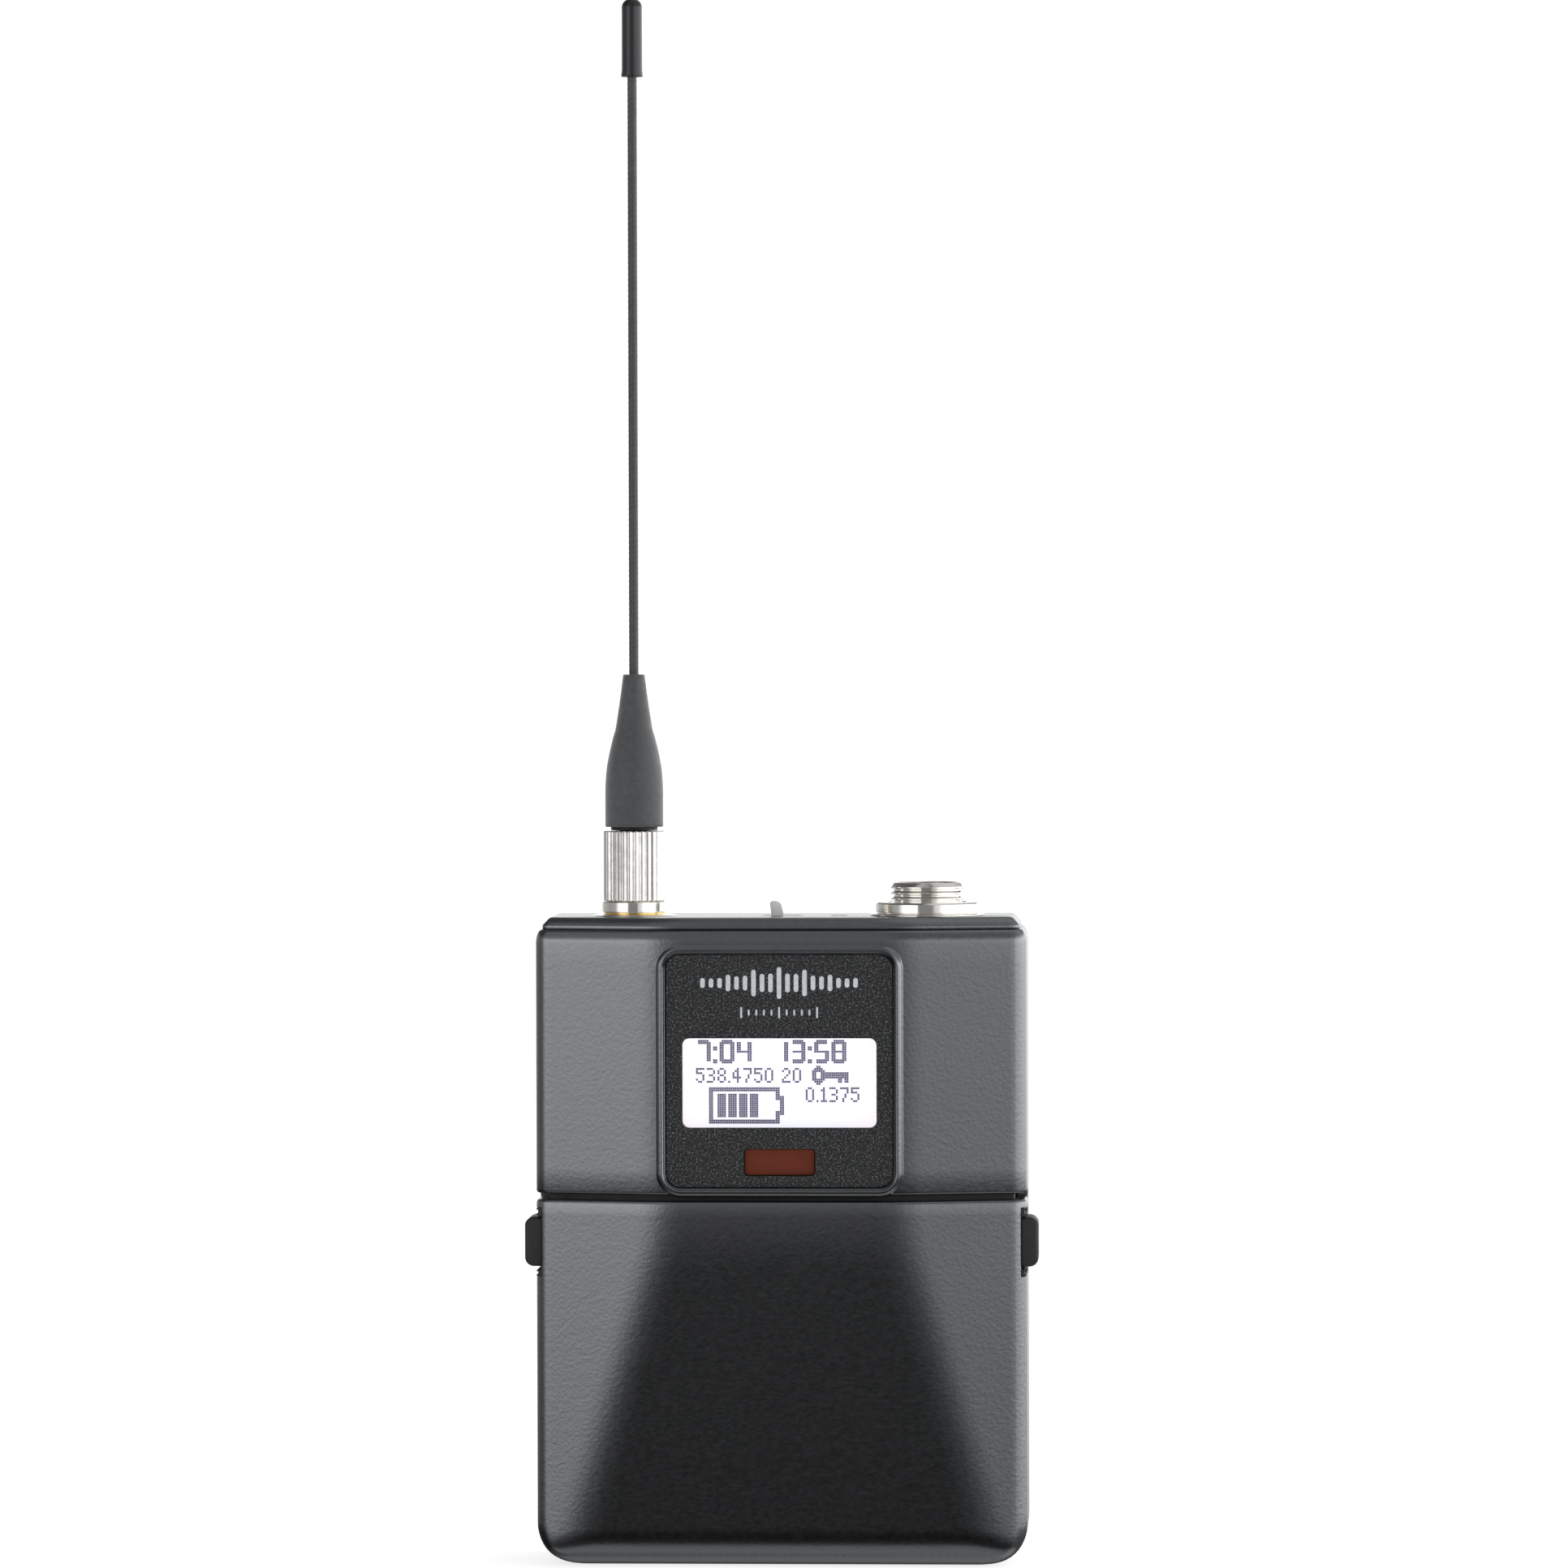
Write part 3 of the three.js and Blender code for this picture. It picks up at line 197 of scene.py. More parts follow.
class Nodes(Tree):
    """One material's nodes."""

    def __init__(self, name):
        self.material = bpy.data.materials.new(name)
        self.material.use_nodes = True
        super().__init__(self.material.node_tree)
        self.shader = self.tree.nodes["Principled BSDF"]
        self.place = self.add("ShaderNodeTexCoord").outputs["Object"]

    def noise(self, size, detail=2.0, stretch=(1, 1, 1), rough=0.5):
        """Noise whose lumps are about size across, from 0 to 1."""
        scaled = self.add("ShaderNodeMapping", {"Vector": self.place, "Scale": stretch})
        inputs = {
            "Vector": scaled.outputs["Vector"],
            "Scale": 1 / size,
            "Detail": detail,
            "Roughness": rough,
        }
        return self.add("ShaderNodeTexNoise", inputs).outputs["Fac"]

    def spread(self, value, low, high, start=0.3, end=0.7):
        """Maps the middle of a noise to the range from low to high."""
        inputs = {"Value": value, "From Min": start, "From Max": end, "To Min": low, "To Max": high}
        return self.add("ShaderNodeMapRange", inputs).outputs["Result"]

    def blend(self, factor, first, second):
        node = self.add("ShaderNodeMix", data_type="RGBA")
        self.set(node.inputs["Factor"], factor)
        self.set(node.inputs[6], first)
        self.set(node.inputs[7], second)
        return node.outputs[2]

    def relief(self, height, depth, normal=None):
        """Raises the surface by up to depth where height is 1."""
        inputs = {"Height": height, "Distance": depth, "Strength": 1.0}
        if normal is not None:
            inputs["Normal"] = normal
        return self.add("ShaderNodeBump", inputs).outputs["Normal"]

    def soft_edges(self, radius):
        return self.add("ShaderNodeBevel", {"Radius": radius}, samples=4).outputs["Normal"]

    def finish(self, **sockets):
        for key, value in sockets.items():
            self.set(self.shader.inputs[key.replace("_", " ")], value)
        return self.material


def grey(value):
    return (value, value, value, 1)


def shade(color, factor):
    return (color[0] * factor, color[1] * factor, color[2] * factor, 1)


def mottled(nodes, color, amount, size):
    """The colour, a little lighter and darker from place to place."""
    patches = nodes.spread(nodes.noise(size, 4), 0, 1)
    return nodes.blend(patches, shade(color, 1 - amount), shade(color, 1 + amount))


def satin_paint(name, color):
    """Metallic paint with the skin of an orange peel, its edges rounded in the shading."""
    nodes = Nodes(name)
    soft = nodes.soft_edges(0.2 * MM)
    skin = nodes.noise(0.5 * MM, 1.4, rough=0.5)
    fine = nodes.noise(0.2 * MM, 1)
    normal = nodes.relief(fine, 0.003 * MM, nodes.relief(skin, 0.014 * MM, soft))
    return nodes.finish(
        Base_Color=mottled(nodes, color, 0.03, 0.8 * MM),
        Metallic=1.0,
        Roughness=nodes.spread(nodes.noise(0.8 * MM, 2), 0.23, 0.27),
        Normal=normal,
    )


def moulded_plastic(name, color, roughness, grain, grain_size, edge=0.12 * MM, amount=0.1, sheen=0.0):
    """Plastic or rubber with a moulded grain."""
    nodes = Nodes(name)
    lumps = nodes.noise(grain_size, 3)
    return nodes.finish(
        Base_Color=mottled(nodes, color, amount, grain_size * 4),
        Roughness=nodes.spread(nodes.noise(grain_size * 6, 2), roughness * 0.88, roughness * 1.12),
        Normal=nodes.relief(lumps, grain, nodes.soft_edges(edge)),
        Sheen_Weight=sheen,
    )


def grained_panel(name):
    """Black plastic with a coarse grain, with lighter specks painted into its colour as the glints of the
    grain.
    """
    nodes = Nodes(name)
    lumps = nodes.noise(0.34 * MM, 3, rough=0.6)
    # Painted glints: lighter specks in the base colour, where the grain would catch the light.
    painted_glint_specks = nodes.spread(nodes.noise(0.24 * MM, 4, rough=0.75), 0, 1, 0.53, 0.62)
    return nodes.finish(
        Base_Color=nodes.blend(painted_glint_specks, (0.009, 0.01, 0.011, 1), (0.17, 0.175, 0.185, 1)),
        Roughness=nodes.spread(lumps, 0.42, 0.62),
        Normal=nodes.relief(lumps, 0.11 * MM),
    )


def plated_metal(name, color, roughness, edge=0.08 * MM):
    """Bright plating with faint turning marks and a slight haze."""
    nodes = Nodes(name)
    marks = nodes.noise(0.12 * MM, 2, stretch=(0.15, 0.15, 1))
    haze = nodes.noise(1.5 * MM, 4)
    return nodes.finish(
        Base_Color=mottled(nodes, color, 0.04, 2 * MM),
        Metallic=1.0,
        Roughness=nodes.spread(haze, roughness * 0.7, roughness * 1.4),
        Normal=nodes.relief(marks, 0.002 * MM, nodes.soft_edges(edge)),
    )


def circuit_board(name):
    """Green solder mask over copper tracks."""
    nodes = Nodes(name)
    scaled = nodes.add("ShaderNodeMapping", {"Vector": nodes.place, "Scale": (900, 900, 900)})
    inputs = {"Vector": scaled.outputs["Vector"], "Scale": 1.0, "Randomness": 0.35}
    cells = nodes.add("ShaderNodeTexVoronoi", inputs, feature="DISTANCE_TO_EDGE", distance="MANHATTAN")
    tracks = nodes.spread(cells.outputs["Distance"], 1, 0, 0.08, 0.12)
    return nodes.finish(
        Base_Color=nodes.blend(tracks, (0.01, 0.07, 0.035, 1), (0.03, 0.16, 0.07, 1)),
        Roughness=nodes.spread(nodes.noise(2 * MM), 0.3, 0.45),
        Normal=nodes.relief(tracks, 0.02 * MM, nodes.soft_edges(0.1 * MM)),
    )


def lit_screen(name):
    """The white face of a backlit display, pinker towards its ends."""
    nodes = Nodes(name)
    side = nodes.add("ShaderNodeSeparateXYZ", {"Vector": nodes.place}).outputs["X"]
    distance = nodes.add("ShaderNodeMath", {0: side}, operation="ABSOLUTE").outputs["Value"]
    ends = nodes.spread(distance, 0, 1, 7 * MM, 13 * MM)
    clouds = nodes.spread(nodes.noise(5 * MM), 0, 0.4)
    middle = nodes.blend(clouds, (0.88, 0.89, 1.0, 1), (0.97, 0.97, 1.0, 1))
    glow = nodes.blend(ends, middle, (0.99, 0.93, 0.95, 1))
    return nodes.finish(
        Base_Color=grey(0.3),
        Roughness=nodes.spread(nodes.noise(1 * MM), 0.35, 0.5),
        Emission_Color=glow,
        Emission_Strength=0.95,
    )


def clear_plastic(name):
    """A thin clear window: mostly see-through, with a faint gloss."""
    nodes = Nodes(name)
    return nodes.finish(
        Base_Color=mottled(nodes, (0.9, 0.92, 0.95), 0.02, 4 * MM),
        Roughness=nodes.spread(nodes.noise(3 * MM), 0.04, 0.1),
        Alpha=0.06,
    )


def dark_red_plastic(name):
    """Infrared-clear plastic: a flat dark red with a soft gloss and faint flow marks."""
    nodes = Nodes(name)
    flow = nodes.noise(1.6 * MM, 4, stretch=(0.5, 1, 1))
    return nodes.finish(
        Base_Color=nodes.blend(nodes.spread(flow, 0, 1), (0.125, 0.022, 0.009, 1), (0.15, 0.028, 0.012, 1)),
        Roughness=nodes.spread(flow, 0.5, 0.62),
        Specular_IOR_Level=0.2,
        Normal=nodes.relief(nodes.noise(0.4 * MM), 0.006 * MM),
    )


def cell_wrapper(name):
    """A battery's printed foil: a dark body with a copper-coloured band, by its place along the cell."""
    nodes = Nodes(name)
    along = nodes.add("ShaderNodeSeparateXYZ", {"Vector": nodes.place}).outputs["X"]
    distance = nodes.add("ShaderNodeMath", {0: along}, operation="ABSOLUTE").outputs["Value"]
    band = nodes.add("ShaderNodeMath", {0: distance, 1: 15 * MM}, operation="GREATER_THAN")
    scuffs = nodes.spread(nodes.noise(1.5 * MM, 5), 0, 1)
    dark = nodes.blend(scuffs, (0.012, 0.013, 0.015, 1), (0.022, 0.023, 0.026, 1))
    copper = nodes.blend(scuffs, (0.42, 0.19, 0.07, 1), (0.52, 0.25, 0.1, 1))
    return nodes.finish(
        Base_Color=nodes.blend(band.outputs["Value"], dark, copper),
        Metallic=0.5,
        Roughness=nodes.spread(scuffs, 0.25, 0.4),
        Normal=nodes.relief(nodes.noise(4 * MM), 0.02 * MM),
    )


PAINT = satin_paint("case_paint", (0.235, 0.245, 0.255))
PANEL = grained_panel("panel_grain")
BLACK = moulded_plastic("black_plastic", (0.012, 0.0125, 0.014), 0.5, 0.02 * MM, 0.35 * MM)
TAB = moulded_plastic("tab_plastic", (0.02, 0.021, 0.022), 0.48, 0.02 * MM, 0.3 * MM)
BOOT = moulded_plastic(
    "boot_rubber", (0.066, 0.069, 0.074), 0.5, 0.035 * MM, 0.18 * MM, amount=0.15, sheen=0.5
)
JACKET = moulded_plastic("whip_jacket", (0.06, 0.064, 0.068), 0.38, 0.01 * MM, 0.25 * MM, edge=0.03 * MM)
TIP = moulded_plastic("tip_plastic", (0.018, 0.019, 0.022), 0.24, 0.01 * MM, 0.9 * MM)
NICKEL = plated_metal("nickel", (0.93, 0.91, 0.87), 0.1)
SATIN_NICKEL = plated_metal("satin_nickel", (0.95, 0.93, 0.9), 0.25)
GOLD = plated_metal("gold", (0.85, 0.6, 0.24), 0.2)
STEEL = plated_metal("steel", (0.5, 0.5, 0.5), 0.32)
BOARD = circuit_board("board")
KEY = moulded_plastic("key_plastic", (0.3, 0.31, 0.33), 0.5, 0.02 * MM, 0.3 * MM)
KNOB = moulded_plastic("knob_plastic", (0.95, 0.95, 0.96), 0.4, 0.01 * MM, 0.3 * MM)
WINDOW = clear_plastic("clear_window")
SCREEN = lit_screen("lit_screen")
DOTS = moulded_plastic("screen_dots", (0.07, 0.045, 0.19), 0.6, 0.001 * MM, 0.1 * MM)
PRINT = moulded_plastic("pale_print", (0.62, 0.65, 0.68), 0.5, 0.002 * MM, 0.1 * MM)
RED = dark_red_plastic("infrared_red")
PIPE = moulded_plastic("light_pipe", (0.75, 0.77, 0.75), 0.3, 0.004 * MM, 0.4 * MM)
WRAPPER = cell_wrapper("cell_wrap")
CLIP = moulded_plastic("clip_black", (0.02, 0.02, 0.022), 0.38, 0.02 * MM, 0.5 * MM)

# ---------- Mesh helpers ----------


def placed(name, data):
    """A new object in the scene."""
    made = bpy.data.objects.new(name, data)
    bpy.context.scene.collection.objects.link(made)
    return made


def piece(name, mesh, material, body="case", replaces=(), crease=38):
    """Shows a mesh as one piece of the object, smooth except where it turns by more than crease."""
    mesh.name = name
    mesh.materials.clear()
    mesh.materials.append(material)
    form = bmesh.new()
    form.from_mesh(mesh)
    bmesh.ops.remove_doubles(form, verts=form.verts, dist=1e-7)
    bmesh.ops.recalc_face_normals(form, faces=form.faces)
    for face in form.faces:
        face.smooth = True
        face.material_index = 0
    for edge in form.edges:
        edge.smooth = len(edge.link_faces) != 2 or edge.calc_face_angle(0) < math.radians(crease)
    form.to_mesh(mesh)
    form.free()
    shown = placed(name, mesh)
    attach(shown, body)
    if replaces:
        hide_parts(*replaces)
    return shown


def mesh_of(points, faces, name="mesh"):
    mesh = bpy.data.meshes.new(name)
    mesh.from_pydata([tuple(point) for point in points], [], faces)
    mesh.validate()
    return mesh


def loft(loops, closed=False):
    """Joins equal loops of points in order. The ends are capped, or joined to each other if closed."""
    count = len(loops[0])
    points = [point for loop in loops for point in loop]
    faces = []
    for level in range(len(loops) if closed else len(loops) - 1):
        here = level * count
        above = (level + 1) % len(loops) * count
        for step in range(count):
            after = (step + 1) % count
            faces.append((here + step, here + after, above + after, above + step))
    if not closed:
        faces.append(tuple(reversed(range(count))))
        faces.append(tuple(range(len(points) - count, len(points))))
    return mesh_of(points, faces)


def lathe(profile, centre=(0, 0), sides=72, shape=None):
    """Turns a closed profile of (radius, z) points about an upright axis. shape can change the radius."""
    loops = []
    for step in range(sides):
        angle = 2 * math.pi * step / sides
        loop = []
        for radius, z in profile:
            reach = shape(radius, z, angle) if shape else radius
            loop.append((centre[0] + reach * math.cos(angle), centre[1] + reach * math.sin(angle), z))
        loops.append(loop)
    return loft(loops, closed=True)


def mm(*points):
    """Points written in millimetres, in metres."""
    return [tuple(value * MM for value in point) for point in points]


def merged(*meshes):
    """Several bodies as one mesh."""
    form = bmesh.new()
    for mesh in meshes:
        form.from_mesh(mesh)
    whole = bpy.data.meshes.new("merged")
    form.to_mesh(whole)
    form.free()
    return whole


def box(low, high):
    form = bmesh.new()
    bmesh.ops.create_cube(form, size=1)
    for vert in form.verts:
        for axis in range(3):
            vert.co[axis] = low[axis] if vert.co[axis] < 0 else high[axis]
    mesh = bpy.data.meshes.new("box")
    form.to_mesh(mesh)
    form.free()
    return mesh


def rounded(mesh, width, segments=3, angle=30):
    """The mesh with its sharp edges rounded."""
    form = bmesh.new()
    form.from_mesh(mesh)
    bmesh.ops.remove_doubles(form, verts=form.verts, dist=1e-7)
    sharp = [edge for edge in form.edges if edge.calc_face_angle(0) > math.radians(angle)]
    bmesh.ops.bevel(
        form, geom=sharp, offset=width, segments=segments, profile=0.5, affect="EDGES", clamp_overlap=True
    )
    form.to_mesh(mesh)
    form.free()
    return mesh


def moved(mesh, matrix):
    mesh.transform(matrix)
    if matrix.determinant() < 0:
        mesh.flip_normals()
    return mesh


def carved(mesh, *tools, operation="DIFFERENCE"):
    """Cuts the tools out of the mesh, or keeps only what lies in all of them."""
    solid = placed("solid", mesh)
    cutters = []
    for tool in tools:
        cutters.append(placed("cutter", tool))
        step = solid.modifiers.new("carve", "BOOLEAN")
        step.operation = operation
        step.solver = "EXACT"
        step.object = cutters[-1]
    bpy.context.view_layer.update()
    view = bpy.context.evaluated_depsgraph_get()
    result = bpy.data.meshes.new_from_object(solid.evaluated_get(view))
    for made in (solid, *cutters):
        bpy.data.objects.remove(made)
    return result


def arc(centre, radius, start, end, steps):
    """Points on an arc, its angles in degrees."""
    angles = [math.radians(start + (end - start) * step / steps) for step in range(steps + 1)]
    return [(centre[0] + radius * math.cos(a), centre[1] + radius * math.sin(a)) for a in angles]


def rounded_rectangle(width, height, radius, steps=8, centre=(0, 0)):
    u, v = width / 2 - radius, height / 2 - radius
    corners = [(u, -v, -90), (u, v, 0), (-u, v, 90), (-u, -v, 180)]
    return [
        point
        for x, y, start in corners
        for point in arc((centre[0] + x, centre[1] + y), radius, start, start + 90, steps)
    ]


def prism_y(outline, front, back, edge=0.0, steps=3):
    """An outline in x and z as a plate between two depths, its front edge rounded by drawing it in."""
    middle_x = sum(x for x, _ in outline) / len(outline)
    middle_z = sum(z for _, z in outline) / len(outline)
    half_x = max(abs(x - middle_x) for x, _ in outline)
    half_z = max(abs(z - middle_z) for _, z in outline)
    rows = [(0, back)]
    for step in range(steps + 1 if edge else 1):
        turn = math.radians(90 * step / steps)
        rows.append((edge * (1 - math.cos(turn)), front + edge * (1 - math.sin(turn))))
    loops = []
    for drawn, y in rows:
        scale_x = 1 - drawn / half_x
        scale_z = 1 - drawn / half_z
        loop = []
        for x, z in outline:
            loop.append((middle_x + (x - middle_x) * scale_x, y, middle_z + (z - middle_z) * scale_z))
        loops.append(loop)
    return loft(loops)


def prism_z(outline, bottom, top):
    return loft([[(x, y, z) for x, y in outline] for z in (bottom, top)])


def rod(start, end, radius, sides=32, edge=0.0):
    """A round bar between two points, its end edges rounded."""
    start, end = Vector(start), Vector(end)
    along = (end - start).normalized()
    side = along.orthogonal().normalized()
    other = along.cross(side)
    length = (end - start).length
    rows = [(0, 0)] if not edge else [(0, edge), (edge * 0.3, edge * 0.3), (edge, 0)]
    stations = [(d, drawn) for d, drawn in rows] + [(length - d, drawn) for d, drawn in reversed(rows)]
    loops = []
    for distance, drawn in stations:
        centre = start + along * distance
        loop = []
        for step in range(sides):
            angle = 2 * math.pi * step / sides
            arm = side * math.cos(angle) + other * math.sin(angle)
            loop.append(centre + arm * (radius - drawn))
        loops.append(loop)
    return loft(loops)


def rod_x(span, y, z, radius, **options):
    return rod((span[0], y, z), (span[1], y, z), radius, **options)


def rod_y(x, span, z, radius, **options):
    return rod((x, span[0], z), (x, span[1], z), radius, **options)


def rod_z(x, y, span, radius, **options):
    return rod((x, y, span[0]), (x, y, span[1]), radius, **options)


def wire(points, radius, sides=12):
    """A round wire along a path of points, its frame carried along without twist."""
    points = [Vector(point) for point in points]
    tangents = []
    for index in range(len(points)):
        before = points[max(index - 1, 0)]
        after = points[min(index + 1, len(points) - 1)]
        tangents.append((after - before).normalized())
    side = tangents[0].orthogonal().normalized()
    loops = []
    for point, tangent in zip(points, tangents):
        side = (side - tangent * side.dot(tangent)).normalized()
        other = tangent.cross(side)
        loop = []
        for step in range(sides):
            angle = 2 * math.pi * step / sides
            loop.append(point + (side * math.cos(angle) + other * math.sin(angle)) * radius)
        loops.append(loop)
    return loft(loops)


def finish_node(node, material, bevel=0.0):
    """Gives a CAD node that stays its material, and eases its edges."""
    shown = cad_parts[node]
    shown.data.materials.clear()
    shown.data.materials.append(material)
    for polygon in shown.data.polygons:
        polygon.material_index = 0
    if bevel:
        ease = shown.modifiers.new("ease", "BEVEL")
        ease.width = bevel
        ease.segments = 2
        ease.limit_method = "ANGLE"
        ease.angle_limit = math.radians(40)


# ---------- The case's outer form ----------


def fall(depth, radius):
    """How far a rounded edge has fallen back, at this distance from the face beyond it."""
    if depth >= radius:
        return 0.0
    depth = max(depth, 0.0)
    return radius - math.sqrt(radius**2 - (radius - depth) ** 2)


def soft_max(first, second, blend):
    """The larger of two depths, with the crease between them rounded off."""
    gap = abs(first - second)
    ease = (blend - gap) ** 2 / (4 * blend) if gap < blend else 0.0
    return max(first, second) + ease


def door_recess(z):
    """How far the door's middle facet has leant back at this height: it curves in, then runs straight."""
    drop = DOOR_TOP - z
    if drop <= 0:
        return 0.0
    if drop < DOOR_CURVE:
        return DOOR_SLOPE * drop**2 / (2 * DOOR_CURVE)
    return DOOR_SLOPE * (drop - DOOR_CURVE / 2)


def front_y(x, z, inset=0.0):
    middle = FACE_Y + door_recess(z) + fall(z - inset, FOOT_FRONT_ROUND - inset)
    facet = FACE_Y + (abs(x) - CREASE_X) * FACET_SLOPE
    foot = fall(z - inset, (FOOT_FRONT_ROUND - inset) * 0.55)
    return soft_max(middle, facet + foot, CREASE_BLEND) + inset


def case_level(z, inset=0.0, half_width=None, front_steps=96, corner_steps=7):
    """The case's outline at one height, all the way round."""
    half = (half_width or HALF_WIDTH) - inset - fall(z - inset, FOOT_CORNER_ROUND - inset)
    back = BACK_Y - inset - fall(z - inset, FOOT_BACK_ROUND - inset)
    round_front = max(SIDE_ROUND - inset, 0.3 * MM)
    round_back = max(BACK_ROUND - inset, 0.3 * MM)
    flat = half - round_front
    right = []
    for step in range(1, corner_steps + 1):
        turn = math.radians(90 * step / corner_steps)
        x = flat + round_front * math.sin(turn)
        right.append((x, front_y(x, z, inset) + round_front * (1 - math.cos(turn))))
    corner_end = right[-1][1]
    for step in range(1, 4):
        right.append((half, corner_end + (back - round_back - corner_end) * step / 4))
    right += arc((half - round_back, back - round_back), round_back, 0, 90, corner_steps)
    front = []
    for step in range(front_steps + 1):
        x = flat * (2 * step / front_steps - 1)
        front.append((x, front_y(x, z, inset)))
    left = [(-x, y) for x, y in reversed(right)]
    return [(x, y, z) for x, y in front + right + left]


def foot_heights(inset=0.0):
    """Heights that follow the round foot, close together near the floor."""
    radius = FOOT_CORNER_ROUND - inset
    turns = [math.radians(90 * step / 12) for step in range(13)]
    return [inset + radius * (1 - math.cos(turn)) for turn in turns]


def straight_heights(start, end, step):
    count = max(int(round((end - start) / step)), 1)
    return [start + (end - start) * index / count for index in range(1, count)]


def lip(edge_z, height, direction, steps=5, depth=None):
    """(height, inset) pairs round an edge, from its flat side to its outermost line."""
    depth = depth or height
    pairs = []
    for step in range(steps + 1):
        turn = math.radians(90 * step / steps)
        pairs.append((edge_z + direction * height * (1 - math.cos(turn)), depth * (1 - math.sin(turn))))
    return pairs


def case_body(levels, **options):
    return loft([case_level(z, inset, **options) for z, inset in levels])


def room_inside(bottom, top):
    """The space inside the walls, as a tool."""
    heights = [z for z in foot_heights(WALL) if z >= bottom] if bottom <= WALL else [bottom]
    heights += straight_heights(heights[-1], top, 6 * MM) + [top]
    return case_body([(z, WALL) for z in heights], front_steps=48, corner_steps=4)


WIDE = HALF_WIDTH + 5 * MM


def side_span(sign, inner, outer):
    return sorted((sign * inner, sign * outer))


def make_door():
    top_edge = list(reversed(lip(DOOR_TOP, PARTING_LIP, -1)))
    heights = foot_heights()
    heights += straight_heights(heights[-1], DOOR_TOP - PARTING_LIP, 1.6 * MM)
    solid = case_body([(z, 0.0) for z in heights] + top_edge)
    tools = [
        box((-WIDE, SEAM_Y, -0.01), (WIDE, 0.03, 0.1)),
        box((-WIDE, HINGE_Y, HINGE_Z), (WIDE, 0.03, SIDE_STEP_Z + SEAM_GAP)),
        box((-WIDE, HINGE_Y + DOOR_HEEL, -0.01), (WIDE, 0.03, SIDE_STEP_Z + SEAM_GAP)),
        room_inside(WALL, DOOR_TOP + 5 * MM),
    ]
    for sign in (-1, 1):
        slot_x = side_span(sign, HINGE_BARREL_HALF, HALF_WIDTH + 2 * MM)
        slot = rounded_rectangle(LATCH_SLOT_DEPTH, LATCH_SLOT_HEIGHT, 0.8 * MM, 5)
        slot_y = LATCH_Y + (LATCH_SLOT_DEPTH - LATCH_DEPTH) / 2 - 0.35 * MM
        loops = [[(x, slot_y + u, LATCH_Z + v) for u, v in slot] for x in slot_x]
        ear_x = side_span(sign, HINGE_BARREL_HALF + 0.01 * MM, EAR_END_X + 0.2 * MM)
        pin_x = side_span(sign, EAR_END_X, EAR_END_X + 0.6 * MM)
        tools.append(loft(loops))
        for span, radius in ((ear_x, EAR_R + 0.35 * MM), (pin_x, HINGE_BORE_R)):
            tools.append(rod_x(span, HINGE_Y, HINGE_Z, radius))
    barrel_x = (-HINGE_BARREL_HALF, HINGE_BARREL_HALF)
    barrel = rod_x(barrel_x, HINGE_Y, HINGE_Z, HINGE_BARREL_R, edge=0.2 * MM)
    door = merged(carved(solid, *tools), barrel)
    piece("door_shell", door, PAINT, "battery_door", ["battery_door"])


def make_door_guides():
    """Ribbed blocks that close the door's slots above and below the latch tabs."""
    half_slot = LATCH_SLOT_HEIGHT / 2
    half_tab = LATCH_HEIGHT / 2
    front = LATCH_Y - LATCH_DEPTH / 2 - 0.4 * MM
    back = LATCH_Y + LATCH_DEPTH / 2 - 0.4 * MM
    below_tab = (-half_slot - 0.1 * MM, -half_tab - 0.36 * MM)
    above_tab = (half_tab + 0.1 * MM, half_slot + 0.1 * MM)
    rib_half = 0.1 * MM
    blocks = []
    for sign in (-1, 1):
        block_x = side_span(sign, 30.9 * MM, HALF_WIDTH - 0.3 * MM)
        rib_x = side_span(sign, 31.2 * MM, HALF_WIDTH - 0.08 * MM)
        for low, high in (below_tab, above_tab):
            block = box((block_x[0], front, LATCH_Z + low), (block_x[1], back, LATCH_Z + high))
            blocks.append(rounded(block, 0.08 * MM))
            for step in (-0.6, 0.6):
                z = LATCH_Z + (low + high) / 2 + step * (high - low) / 2
                rib_low = (rib_x[0], front + 0.1 * MM, z - rib_half)
                rib_high = (rib_x[1], back - 0.1 * MM, z + rib_half)
                blocks.append(rounded(box(rib_low, rib_high), 0.05 * MM))
    piece("door_guides", merged(*blocks), TAB, "battery_door")


def rim_ring():
    """The raised shoulder round the display panel."""
    seat = PANEL_WIDTH / 2 + 0.15 * MM
    reach = RIM_WIDTH / 2 - seat
    stand = RIM_Y - FACE_Y
    rows = [(0, FACE_Y + 1.2 * MM), (0.04 * MM, RIM_Y + 0.55 * MM), (0.16 * MM, RIM_Y + 0.2 * MM)]
    rows += [(0.3 * MM, RIM_Y + 0.04 * MM), (0.4 * MM, RIM_Y), (0.56 * MM, RIM_Y - stand * 0.08)]
    rows += [(0.72 * MM, RIM_Y - stand * 0.3), (0.86 * MM, RIM_Y - stand * 0.62)]
    rows += [(1 * MM, FACE_Y + 0.02 * MM)]
    rows += [(reach + 0.1 * MM, FACE_Y + 0.3 * MM), (reach, FACE_Y + 1.2 * MM)]
    loops = []
    for offset, y in rows:
        width = 2 * (seat + offset)
        height = PANEL_HEIGHT + 0.3 * MM + 2 * offset
        outline = rounded_rectangle(width, height, PANEL_ROUND + 0.15 * MM + offset, 10)
        loops.append([(x, y, PANEL_Z + z) for x, z in outline])
    return loft(loops, closed=True)


